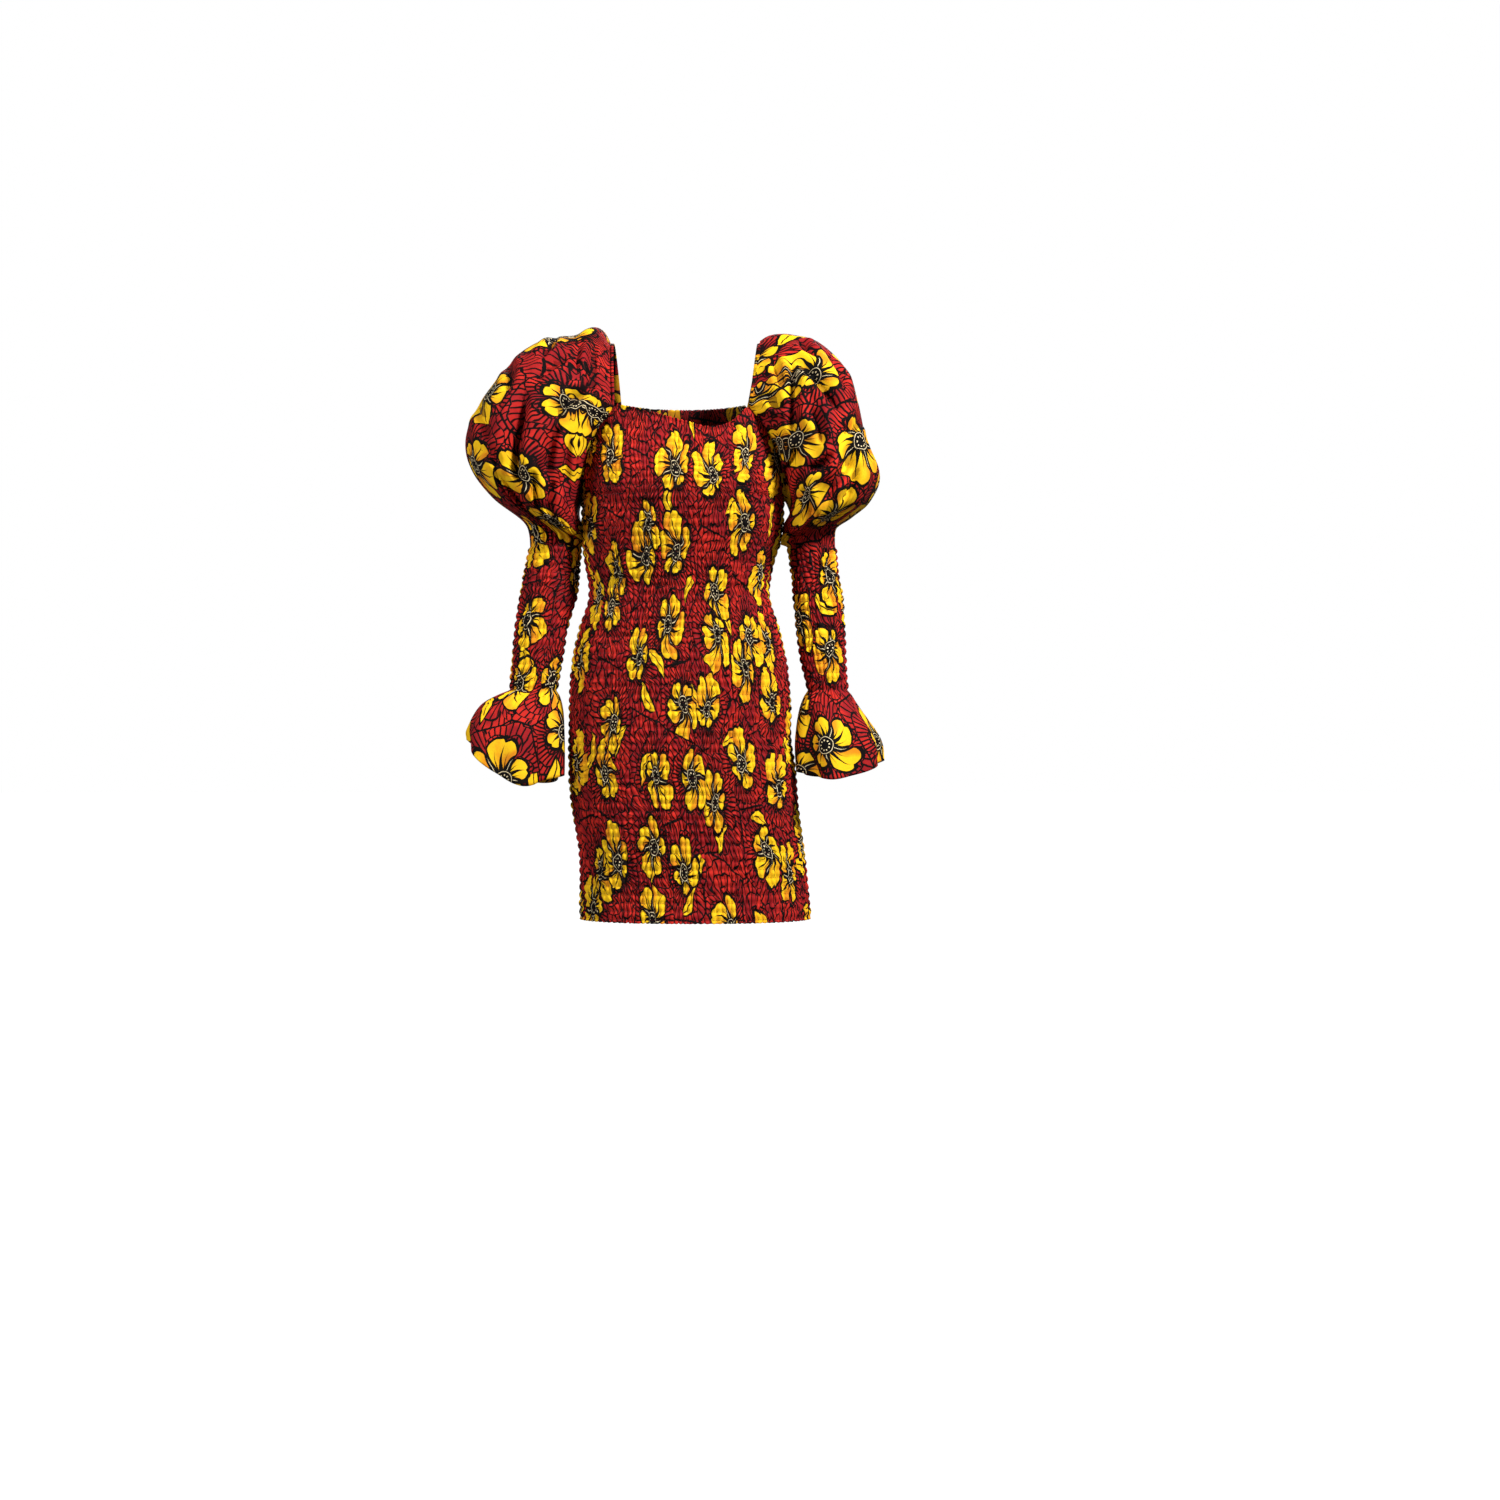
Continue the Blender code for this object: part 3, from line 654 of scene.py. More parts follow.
def shirred_panel(panel, material):
    """The front or back: gathers outside between the stitched rows, plain inside."""
    dice = np.random.default_rng(panel.seed)
    total_rows = ROWS_BELOW_ARM + panel.rows_above
    below = np.linspace(HEM_Z, UNDERARM_Z, STEPS_PER_ROW * ROWS_BELOW_ARM + 1)
    above = np.linspace(UNDERARM_Z, panel.corner_z, STEPS_PER_ROW * panel.rows_above + 1)
    frills = np.linspace(0, 1, FRILL_STEPS + 1)[1:]
    stops = [(HEM_Z, 0, -frill) for frill in frills[::-1]]
    stops += [(z, i, 0.0) for i, z in enumerate(np.concatenate([below, above[1:]]))]
    stops += [(panel.corner_z, STEPS_PER_ROW * total_rows, frill) for frill in frills]
    across = np.linspace(-1, 1, PANEL_COLUMNS + 1)
    drift = wander(dice, total_rows + 2, (across + 1) / 2)
    tall = dice.uniform(*GATHER_SIZES, (total_rows + 1, PANEL_GATHERS))
    underarm_width = panel_row(panel, UNDERARM_Z, across)[2]
    outer, inner, cloth, threads = [], [], [], []
    for z, i, frill in stops:
        plain, out, width = panel_row(panel, z, across)
        place = across / 2 * width
        row, t = i // STEPS_PER_ROW, (i % STEPS_PER_ROW) / STEPS_PER_ROW
        blend = float(smooth(t))
        stray = drift[row] * (1 - blend) + drift[row + 1] * blend
        spacing = (width if z <= UNDERARM_Z else underarm_width) / PANEL_GATHERS
        cycles = place / spacing + stray
        lift = shirred_lift(cycles, tall[row], t)
        fade = smooth((width / 2 - np.abs(place)) / EDGE_FADE)
        lift = PANEL_EDGE_LIFT + (lift - PANEL_EDGE_LIFT) * fade
        scallop = 1 + FRILL_SCALLOP * (crest(cycles) - CREST_LEVEL)
        if frill > 0:
            scallop = scallop * np.maximum(fade, FRILL_AT_CORNERS)
        low = lowered(panel, z, across) + frill * FRILL * scallop
        lift = lift + abs(frill) * FRILL_FLARE * crest(cycles) * fade
        dent = crease_depth(PANEL_CREASES, panel.side, plain[:, 0], low) * fade
        outer.append(np.column_stack([plain + out * (lift - dent)[:, None], low]))
        inner.append(np.column_stack([plain - out * (dent + LINING_SINK * fade)[:, None], low]))
        up = (z - HEM_Z) * LENGTH_TAKEN_UP - (z - low)
        cloth.append(np.column_stack([cloth_across(cycles, PANEL_CUT_WIDTH / PANEL_GATHERS), up]))
        if i % STEPS_PER_ROW == 0 and frill == 0:
            ride = THREAD_LIFT * fade + THREAD_EDGE_LIFT * (1 - fade) - dent
            threads.append(np.column_stack([plain + out * ride[:, None], low]))
    outer, inner, cloth = np.array(outer), np.array(inner), np.array(cloth)
    every = PANEL_LINING_EVERY
    printed = cloth * (PANEL_PRINT_RATIO, 1.0) + panel.print_from
    shell = Shell()
    outside = shell.grid(outer, printed)
    inside = shell.grid(inner[::every, ::every], printed[::every, ::every])
    shell.sheet(*outside)
    shell.sheet(*inside)
    for edge in (0, -1):
        shell.strip([part[edge] for part in outside], [part[edge] for part in inside])
        shell.strip([part[:, edge] for part in outside], [part[:, edge] for part in inside])
    flat, area = flat_size(cloth)
    return Piece(shell.finish(panel.name + "_shirring", material), flat, area, threads)


# Sleeves


def armhole_edge(panel, side):
    """Points of an armhole seam from the underarm up, with the outward direction at each."""
    heights = np.linspace(UNDERARM_Z, panel.corner_z, STEPS_PER_ROW * panel.rows_above + 1)
    points, outward = [], []
    for z in heights:
        inner, out, _ = panel_row(panel, z, np.array([float(side)]))
        points.append([*inner[0], z])
        outward.append([*out[0], 0.0])
    return np.array(points), np.array(outward)


def neck_edge(start, end, side):
    """The elastic edge of a sleeve, over the shoulder from the front corner to the back one."""
    turn = np.linspace(0, math.pi, NECK_EDGE_POINTS + 2)[1:-1]
    share = (1 - np.cos(turn)) / 2
    climb = np.sin(turn) ** NECK_EDGE_CLIMB
    straight = start + (end - start) * share[:, None]
    x = straight[:, 0] + (side * SHOULDER_X - straight[:, 0]) * climb
    return np.column_stack([x, straight[:, 1], straight[:, 2] * (1 - climb)])


def sleeve_opening(side):
    """The loop where a sleeve starts: up the front armhole, over the shoulder, down the back."""
    front, front_out = armhole_edge(FRONT, side)
    back, back_out = armhole_edge(BACK, side)
    apex = (front[:1] + back[:1]) / 2
    edge = neck_edge(front[-1], back[-1], side)
    loop = np.concatenate([apex, front[1:], edge, back[:0:-1]])
    over = np.tile(np.array(NECK_EDGE_OUTWARD) * (side, 1, 1), (len(edge), 1))
    outward = unit(np.concatenate([front_out, over, back_out[:0:-1]]))
    tangent = unit(np.roll(loop, -1, axis=0) - np.roll(loop, 1, axis=0))
    inward = unit(np.cross(tangent, outward))
    inward *= np.sign(((loop.mean(axis=0) - loop) * inward).sum(axis=1))[:, None]
    return loop, outward, inward


def even_round(loop, count):
    """The loop read at evenly spaced places from its first point."""
    closed = np.concatenate([loop, loop[:1]])
    along = lengths_along(closed)
    at = np.arange(count) / count * along[-1]
    return np.stack([np.interp(at, along, closed[:, k]) for k in range(3)], axis=1)


def ring_points(table, share, side, turns):
    """Points round a sleeve at a share of the way along a table of rings."""
    keys = np.arange(len(table))
    at = share * keys[-1]
    get = Ring(*[float(through(keys, column(table, name), at)) for name in Ring._fields])
    inner = np.array([side * get.in_x, get.y, get.in_z])
    outer = np.array([side * get.out_x, get.y, get.out_z])
    centre, half = (inner + outer) / 2, (outer - inner) / 2
    ring = centre - np.cos(turns)[:, None] * half
    ring[:, 1] -= get.depth * np.sin(turns)
    ring[:, 2] -= get.dip * np.sin(turns) ** 2
    return ring


def from_middle(ring):
    return unit(ring - ring.mean(axis=0))


def fold_depth(folds, turns, share):
    """How far the cloth is drawn in by the large folds, round the puff at a share of its length."""
    drawn = np.zeros(len(turns))
    for fold in folds:
        middle = math.radians(fold.degrees + fold.drift * share)
        away = np.abs((turns - middle + math.pi) % (2 * math.pi) - math.pi)
        across = smooth(1 - away / math.radians(fold.half_degrees))
        ends = min(share - fold.start, fold.end - share) / ((fold.end - fold.start) / 2)
        drawn += fold.depth * across * smooth(ends * FOLD_END_STEEPNESS)
    return drawn


class HeadGathers:
    """Short gathers where the puff is sewn to the armhole and drawn in along the neck edge."""

    def __init__(self, sleeve, dice):
        spread = dice.uniform(-HEAD_GATHER_SPREAD, HEAD_GATHER_SPREAD, HEAD_GATHERS)
        self.middle = (np.arange(HEAD_GATHERS) + spread) / HEAD_GATHERS * 2 * math.pi
        self.length = dice.uniform(*HEAD_GATHER_LENGTHS, HEAD_GATHERS)
        self.height = dice.uniform(*HEAD_GATHER_HEIGHTS, HEAD_GATHERS)
        self.flat = (math.radians(sleeve.flat_from), math.radians(sleeve.flat_to))
        self.height *= 1 - HEAD_FLATTENING * self.lies_flat(self.middle)

    def lies_flat(self, turns):
        return ((turns > self.flat[0]) & (turns < self.flat[1])).astype(float)

    def lift(self, turns, share):
        half = math.pi / HEAD_GATHERS * HEAD_GATHER_OVERLAP
        away = np.abs((turns[:, None] - self.middle + math.pi) % (2 * math.pi) - math.pi)
        bump = np.cos(np.clip(away / half, 0, 1) * math.pi / 2) ** HEAD_GATHER_SHARPNESS
        tall = self.height * smooth(1 - share / self.length)
        gathers = bump @ tall - HEAD_GATHER_SINK * tall.mean()
        ruche = crest(turns / (2 * math.pi) * RUCHES) * (1 - self.lies_flat(turns))
        return gathers + RUCHE_HEIGHT * (ruche - CREST_LEVEL) * smooth(1 - share / RUCHE_LENGTH)


def beside_body(points, side):
    """The points of a sleeve, moved out to the body's side where they reached in below the arm."""
    z = points[..., 2]
    heights = column(BODY, "z")
    wide = through(heights, column(BODY, "half_width"), z) + BESIDE_BODY
    front, back = [through(heights, column(BODY, name), z) for name in ("front", "back")]
    across = np.clip(np.abs(points[..., 1]) / np.where(points[..., 1] < 0, front, back), 0, 1)
    reach = wide * (1 - across**SECTION_POWER) ** (1 / SECTION_POWER)
    away = (points[..., 0] - through(heights, column(BODY, "centre_x"), z)) * side
    held = points.copy()
    held[..., 0] += side * smooth((UNDERARM_Z - z) / BESIDE_FADE) * np.maximum(reach - away, 0)
    return held


class SleeveGathers:
    """The gathers of a sleeve by angle, each of a random size of its own."""

    def __init__(self, sleeve):
        dice = np.random.default_rng(sleeve.seed)
        self.turns = np.arange(SLEEVE_COLUMNS) / SLEEVE_COLUMNS * 2 * math.pi
        self.head = HeadGathers(sleeve, dice)
        self.drift = wander(dice, FOREARM_ROWS + 2, self.turns / (2 * math.pi))
        self.tall = dice.uniform(*GATHER_SIZES, (FOREARM_ROWS + 1, FOREARM_GATHERS))
        self.elbow_from = dice.uniform(*ELBOW_GATHERS_FROM, FOREARM_GATHERS)
        self.elbow_height = dice.uniform(*ELBOW_GATHER_HEIGHTS, FOREARM_GATHERS)
        self.wrist_length = dice.uniform(*WRIST_GATHER_LENGTHS, FOREARM_GATHERS)

    def cycles(self, stray):
        """Which gather lies at each angle, counted in whole ones at their crests."""
        return self.turns / (2 * math.pi) * FOREARM_GATHERS + stray


# A row of a sleeve: its points outside, the same without gathers, its wall, the part that it
# belongs to and how far along that, and its gathers
SleeveRow = namedtuple("SleeveRow", "outer plain wall kind share cycles")


def stitched_lift(cycles):
    """Relief of a stitched row over the form that the rings give."""
    return VALLEY_LIFT + STITCHED_HEIGHT * crest(cycles) - SHIRRED_INNER


def puff_rows(sleeve, gathers, collar):
    """The loose puff, from where it is sewn on to the first stitched row at the elbow."""
    turns, cycles = gathers.turns, gathers.cycles(gathers.drift[0])
    from_inner = np.minimum(turns, 2 * math.pi - turns) / math.radians(INNER_REST_DEGREES)
    roomy = INNER_SIDE_FULLNESS + (1 - INNER_SIDE_FULLNESS) * np.sin(turns / 2) ** 2
    seen = {"front": smooth(np.sin(turns) / SIDES_BLEND), "back": smooth(-np.sin(turns) / SIDES_BLEND)}
    starts = sizes_at(gathers.elbow_from, cycles)
    rows = []
    for share in np.linspace(0, 1, PUFF_STEPS + 1):
        flat = ring_points(sleeve.puff, share, sleeve.side, turns)
        rest = ramp(share, *INNER_REST_FROM) * (1 - ramp(share, *INNER_REST_TO))
        flat[:, 0] -= sleeve.side * sleeve.inner_rest * smooth(1 - from_inner) * rest
        blend = float(smooth(share / HEAD_SHARE))
        ring = collar * (1 - blend) + flat * blend
        out = from_middle(flat)
        creased = np.zeros(len(turns))
        for side, part in seen.items():
            creased += crease_depth(sleeve.creases, side, ring[:, 0], ring[:, 2]) * part
        drawn = roomy * fold_depth(sleeve.folds, turns, share) + creased * ramp(share, *CREASES_FROM)
        grown = ramp(share, starts, ELBOW_GATHERS_FULL)
        grown = grown * (1 - ELBOW_EASING * ramp(share, *ELBOW_EASED))
        elbow = sizes_at(gathers.elbow_height, cycles) * grown * (crest(cycles) - CREST_LEVEL)
        head = gathers.head.lift(turns, share) * (HEAD_FULLNESS + (1 - HEAD_FULLNESS) * roomy)
        head = head * smooth(SEWN_FULLNESS + share / SEWN_LENGTH)
        join = float(ramp(share, *ELBOW_JOIN))
        lift = (head + elbow) * (1 - join) + stitched_lift(cycles) * join
        gathered = float(ramp(share, *ELBOW_WALL_FROM)) * (1 - join)
        gathered = max(float(smooth(1 - share / HEAD_WALL_LENGTH)), gathered)
        gathered *= float(smooth(share / WALL_SETS_IN))
        wall = SLEEVE_WALL + (GATHERED_WALL - SLEEVE_WALL) * gathered
        outer = ring + out * (lift - drawn)[:, None]
        plain = ring - out * (drawn + SHIRRED_INNER * join)[:, None]
        rows.append(SleeveRow(outer, plain, wall, "puff", share, cycles))
    return rows


def forearm_rows(sleeve, gathers):
    """The shirred forearm below its first stitched row, and the lines of all its stitches."""
    rows, threads = [], []
    for i in range(STEPS_PER_ROW * FOREARM_ROWS + 1):
        row, t = i // STEPS_PER_ROW, (i % STEPS_PER_ROW) / STEPS_PER_ROW
        share = i / (STEPS_PER_ROW * FOREARM_ROWS)
        ring = ring_points(sleeve.forearm, share, sleeve.side, gathers.turns)
        out = from_middle(ring)
        if t == 0:
            threads.append(ring + out * (THREAD_LIFT - SHIRRED_INNER))
        if i == 0:
            continue
        blend = float(smooth(t))
        cycles = gathers.cycles(gathers.drift[row] * (1 - blend) + gathers.drift[row + 1] * blend)
        lift = shirred_lift(cycles, gathers.tall[row], t) - SHIRRED_INNER
        outer, plain = ring + out * lift[:, None], ring - out * SHIRRED_INNER
        rows.append(SleeveRow(outer, plain, SHIRRED_WALL, "forearm", share, cycles))
    return rows, threads


def flare_rows(sleeve, gathers, cycles):
    """The loose flared cuff, which starts with the gathers of the last stitched row."""
    lengths = sizes_at(gathers.wrist_length, cycles)
    rows = []
    for share in np.linspace(0, 1, FLARE_STEPS + 1)[1:]:
        flat = ring_points(sleeve.flare, share, sleeve.side, gathers.turns)
        out = from_middle(flat)
        waves = FLARE_WAVE_DEPTH * float(smooth(share)) * np.sin(gathers.turns * FLARE_WAVES)
        faded = 1 - smooth(share / lengths)
        wrist = WRIST_GATHER_HEIGHT * faded * (crest(cycles) - WRIST_GATHER_SINK)
        join = float(smooth(share / WRIST_JOIN))
        lift = wrist * join + stitched_lift(cycles) * (1 - join)
        wall = SLEEVE_WALL + WRIST_WALL * float(smooth(1 - share / WRIST_WALL_LENGTH)) * join
        outer = flat + out * (waves + lift)[:, None]
        plain = flat + out * (waves - SHIRRED_INNER * (1 - join))[:, None]
        rows.append(SleeveRow(outer, plain, wall, "flare", share, cycles))
    return rows


def sleeve_rows(sleeve):
    """A sleeve's rows from armhole to cuff, the first row of its lining, and its stitches' lines."""
    gathers = SleeveGathers(sleeve)
    loop, outward, inward = sleeve_opening(sleeve.side)
    foot = even_round(loop - inward * SEAM_LAP, SLEEVE_COLUMNS)
    raised = loop - inward * SEAM_LAP + outward * (SHIRRED_INNER + COLLAR_RISE)
    foot_inside = even_round(loop + inward * (SLEEVE_WALL - SEAM_LAP), SLEEVE_COLUMNS)
    rows = [SleeveRow(foot, foot, 0.0, "puff", 0.0, gathers.cycles(gathers.drift[0]))]
    rows += puff_rows(sleeve, gathers, even_round(raised, SLEEVE_COLUMNS))
    forearm, threads = forearm_rows(sleeve, gathers)
    rows += forearm
    rows += flare_rows(sleeve, gathers, rows[-1].cycles)
    return rows, foot_inside, threads


def eased_flat(points, cloth, ratio, slack):
    """The flat shape of a puff, eased until its lengths agree with those of the cloth in 3-D.

    Its last row keeps its place. ratio is how much wider than it looks each row was cut, and
    slack how firmly a row resists growing longer still, since its gathers can take that up.
    """
    rings = (points[:, 1:] - points[:, :-1]) * ratio[:, None, None]
    falls = points[1:] - points[:-1]
    between = (slack[1:] + slack[:-1]) / 2

    def span(vectors):
        return np.linalg.norm(vectors, axis=2)

    every, first, last = slice(None), slice(None, -1), slice(1, None)
    ties = [
        (every, first, every, last, span(rings), slack),
        (first, every, last, every, span(falls), np.ones(len(falls))),
        (first, first, last, last, span(rings[:-1] + falls[:, 1:]), between),
        (first, last, last, first, span(falls[:, :-1] - rings[:-1]), between),
    ]
    flat = cloth.copy()
    for _ in range(EASING_ROUNDS):
        pull = np.zeros_like(flat)
        for r0, c0, r1, c1, rest, firm in ties:
            gap = flat[r1, c1] - flat[r0, c0]
            long = np.maximum(np.linalg.norm(gap, axis=2), 1e-6)
            hold = np.where(long > rest, firm[:, None], 1.0)
            move = gap * (hold * (long - rest) / long)[..., None] * EASING_STEP
            pull[r0, c0] += move
            pull[r1, c1] -= move
        pull[-1] = 0
        flat += pull
    return flat


def sleeve_cloth(plain, rows):
    """Where each point lies on the flat sleeve, measured from its middle line and from the elbow."""
    closed = np.concatenate([plain, plain[:, :1]], axis=1)
    steps = np.linalg.norm(np.diff(closed, axis=1), axis=2)
    round_at = np.concatenate([np.zeros((len(plain), 1)), np.cumsum(steps, axis=1)], axis=1)
    around = round_at - round_at[:, SLEEVE_COLUMNS // 2][:, None]
    girth = round_at[:, -1]
    elbow = PUFF_STEPS + 1
    cut = girth[elbow] * FOREARM_CUT_RATIO
    falls = np.linalg.norm(np.diff(closed, axis=0), axis=2)
    down = np.concatenate([np.zeros((1, closed.shape[1])), np.cumsum(falls, axis=0)])
    down = down - down[elbow]
    cloth = np.zeros((*closed.shape[:2], 2))
    cloth[..., 1] = -np.where(down > 0, down * LENGTH_TAKEN_UP, down)
    gathered = []
    for row in rows:
        once_round = np.append(row.cycles, row.cycles[0] + FOREARM_GATHERS)
        gathered.append(cloth_across(once_round - FOREARM_GATHERS / 2, cut / FOREARM_GATHERS))
    for i, row in enumerate(rows[elbow:], elbow):
        blend = float(smooth(row.share / FLARE_BLEND)) if row.kind == "flare" else 0.0
        cloth[i, :, 0] = gathered[i] * (1 - blend) + around[i] * cut / girth[i] * blend

    # The puff is flattened on a coarse net of its points, then read back at all of them
    coarse_rows = np.unique(np.append(np.arange(0, elbow, EASING_EVERY), elbow))
    coarse_columns = np.arange(0, SLEEVE_COLUMNS + 1, 2 * EASING_EVERY)
    shares = np.array(column(rows[: elbow + 1], "share"))
    ratio = 1 + ramp(shares, *CUT_WIDENS) * np.maximum(cut / girth[: elbow + 1] - 1, 0)
    slack = (1 - LEAST_FIRMNESS) * ramp(shares, *ROWS_FIRM_UP) * ramp(shares, *ROWS_GIVE_WAY)
    slack += LEAST_FIRMNESS
    start = np.stack([around[: elbow + 1] * ratio[:, None], -down[: elbow + 1]], axis=2)
    net = np.ix_(coarse_rows, coarse_columns)
    flat = eased_flat(closed[net], start[net], ratio[coarse_rows], slack[coarse_rows])
    fine = np.arange(elbow + 1)
    for axis in (0, 1):
        tall = np.array([through(coarse_rows, line, fine) for line in flat[:, :, axis].T]).T
        wide = np.array([through(coarse_columns, line, np.arange(SLEEVE_COLUMNS + 1)) for line in tall])
        if axis == 0:
            blend = ramp(shares, *ELBOW_BLEND)[:, None]
            wide = wide * (1 - blend) + np.array(gathered[: elbow + 1]) * blend
        cloth[: elbow + 1, :, axis] = wide
    return cloth


def inward_square(grid):
    """Directions square to a closed grid of cloth, towards the inside of the sleeve."""
    along = np.gradient(grid, axis=0)
    across = np.roll(grid, -1, axis=1) - np.roll(grid, 1, axis=1)
    square = unit(np.cross(along, across))
    middle = grid.mean(axis=1, keepdims=True)
    return square * np.sign(((middle - grid) * square).sum(axis=2).mean())


def puff_sleeve(sleeve, material):
    """A sleeve from the armhole down: puff, shirred forearm, flared cuff."""
    rows, foot_inside, threads = sleeve_rows(sleeve)
    outside, plain = np.array(column(rows, "outer")), np.array(column(rows, "plain"))
    wall = np.array(column(rows, "wall"))
    cloth = sleeve_cloth(plain, rows)
    outside, plain = beside_body(outside, sleeve.side), beside_body(plain, sleeve.side)
    every = SLEEVE_LINING_EVERY
    inside = plain[1:] + inward_square(plain[1:]) * wall[1:, None, None]
    inside = np.concatenate([foot_inside[None], inside])
    keep = np.unique(np.append(np.arange(0, len(rows), every), len(rows) - 1))
    shell = Shell()
    printed = cloth + sleeve.print_from
    outer = shell.grid(outside, printed, closed=True)
    inner = shell.grid(inside[keep][:, ::every], printed[keep][:, ::every], closed=True)
    shell.sheet(*outer)
    shell.sheet(*inner)
    for edge in (0, -1):
        shell.strip([part[edge] for part in outer], [part[edge] for part in inner])
    flat, area = flat_size(cloth)
    return Piece(shell.finish(sleeve.name + "_cloth_wall", material), flat, area, threads)


# Shader expressions


# How far printed ink fades at its edges, in metres
INK_BLUR = 0.0003
FINE_BLUR = 0.0002


class Amount:
    """A number that varies over the cloth. Sums and products of it add Math nodes."""

    def __init__(self, dye, socket):
        self.dye, self.socket = dye, socket

    def math(self, operation, *others, first=None):
        values = (self, *others) if first is None else (first, self)
        made = self.dye.node("ShaderNodeMath", {"operation": operation}, dict(enumerate(values)))
        return Amount(self.dye, made.outputs[0])

    def __add__(self, other):
        return self.math("ADD", other)

    __radd__ = __add__

    def __sub__(self, other):
        return self.math("SUBTRACT", other)

    def __rsub__(self, other):
        return self.math("SUBTRACT", first=other)

    def __mul__(self, other):
        return self.math("MULTIPLY", other)

    __rmul__ = __mul__

    def __truediv__(self, other):
        return self.math("DIVIDE", other)

    def __rtruediv__(self, other):
        return self.math("DIVIDE", first=other)

    def __pow__(self, other):
        return self.math("POWER", other)

    def __abs__(self):
        return self.math("ABSOLUTE")

    def __lt__(self, other):
        return self.math("LESS_THAN", other)

    def __gt__(self, other):
        return self.math("GREATER_THAN", other)

    def __mod__(self, other):
        return self.math("FLOORED_MODULO", other)


class Dye:
    """One material's nodes: any node by its type, settings and sockets, and mixed colours."""

    def __init__(self, name):
        self.material = bpy.data.materials.new(name)
        self.material.use_nodes = True
        self.tree = self.material.node_tree
        self.shader = self.tree.nodes["Principled BSDF"]

    def give(self, socket, value):
        if isinstance(value, Amount):
            value = value.socket
        if isinstance(value, bpy.types.NodeSocket):
            self.tree.links.new(value, socket)
        else:
            socket.default_value = value

    def node(self, kind, settings=(), sockets=()):
        made = self.tree.nodes.new(kind)
        for name, value in dict(settings).items():
            setattr(made, name, value)
        for name, value in dict(sockets).items():
            self.give(made.inputs[name], value)
        return made

    def amount(self, kind, settings=(), sockets=(), output=0):
        return Amount(self, self.node(kind, settings, sockets).outputs[output])

    def rise(self, value, low, high):
        """0 below low, 1 above high, smooth between. With high below low it falls."""
        ends = {"Value": value, "From Min": low, "From Max": high}
        return self.amount("ShaderNodeMapRange", {"interpolation_type": "SMOOTHSTEP"}, ends)

    def line(self, away, half_width, soft=INK_BLUR):
        """1 within half_width of where away is 0, fading over soft."""
        return 1 - self.rise(abs(away) - half_width, -soft, soft)

    def colour(self, factor, below, above):
        mixed = self.node("ShaderNodeMix", {"data_type": "RGBA"}, {0: factor, 6: below, 7: above})
        return mixed.outputs[2]

    def place(self, across, along):
        return self.node("ShaderNodeCombineXYZ", (), {0: across, 1: along}).outputs[0]

    def noise(self, vector, scale, detail=2.0, output=0):
        sockets = {"Vector": vector, "Scale": scale, "Detail": detail}
        return self.amount("ShaderNodeTexNoise", {"noise_dimensions": "2D"}, sockets, output)

    def shine(self, **constants):
        for name, value in constants.items():
            self.shader.inputs[name.replace("_", " ")].default_value = value


def srgb(red, green, blue):
    """A colour as a screen shows it, made linear for a shader."""
    def linear(c):
        c /= 255
        return c / 12.92 if c <= 0.04045 else ((c + 0.055) / 1.055) ** 2.4
    return (linear(red), linear(green), linear(blue), 1.0)


RED = srgb(198, 42, 33)
DEEP_RED = srgb(146, 25, 30)
MAROON = srgb(20, 5, 6)
INK = srgb(11, 7, 7)
YELLOW = srgb(250, 200, 26)
ORANGE = srgb(226, 140, 26)
CREAM = srgb(232, 214, 170)
THREAD_DARK = srgb(58, 12, 16)
THREAD_LIGHT = srgb(112, 24, 28)
WHITE = (1.0, 1.0, 1.0, 1)
FLECK_TONE = (0.84, 0.82, 0.82, 1)
# Painted shade: the reverse side, inside the dress and sleeves, is darkened as if in shadow
REVERSE_PAINTED_SHADE = (0.42, 0.36, 0.36, 1)

# How much larger the whole design is printed than its own sizes below, which are in metres
PRINT_SIZE = 1.12
# Motifs strewn over the cloth: their spacing across and along, how far they stray from even
# places, and where the pattern starts
Strewn = namedtuple("Strewn", "width height disorder offset")
BLOSSOMS = Strewn(0.098, 0.104, 0.62, 3.3)
LEAVES = Strewn(0.066, 0.07, 0.9, 8.1)
STAGGER = 0.42
HAND_SHAKE = 0.0045
# A petal's least length, what luck adds, and how much longer those on one side are
PETALS = 5
PETAL_CURL = 12
PETAL_LENGTH = 0.0345
PETAL_LUCK = 0.0105
PETAL_LEAN = 0.34
NOTCH_WIDTH = 0.2
NOTCH_DEPTH = 0.09
# Ink that narrows outwards: the share of a petal's length where it would end, and half its width
# at the start
VEIN = (0.84, 0.0042)
SIDE_VEIN = (0.66, 0.0019)
SIDE_VEIN_AT = 0.46
PETAL_GAP = (1.15, 0.0052)
PETAL_GAP_LEAST = 0.0013
OUTLINE_AT = 0.0012
OUTLINE = 0.0023
BORDER = 0.0012
# The blossom's heart: from its middle out, dots, a thin ring, and its rim
SEEDS = 9
SEED_SHARE = 0.35
SEEDS_AT = 0.0062
SEED = 0.0009
HEART_RING_AT = 0.0106
HEART_EDGE = (0.0118, 0.0124)
CREAM_LINE = 0.0004
CREAM_LINE_TO = 0.6
# How much deeper a petal's yellow is along one side, between those places across it, towards its
# heart, and by luck
WASHED_SIDE = (0.5, 0.95)
SIDE_WASH = 0.3
HEART_WASH = 0.22
LUCK_WASH = 0.12
# The ground's rays and the scalloped bands that they fill
RAYS = 50
RAY = 0.00112
BAND_WIDTH = 0.018
BAND_LINE_AT = 0.0015
BAND_LINE = 0.0013
SCALLOPS = 4
SCALLOP_DEPTH = 0.006
BAND_GAP = 0.001
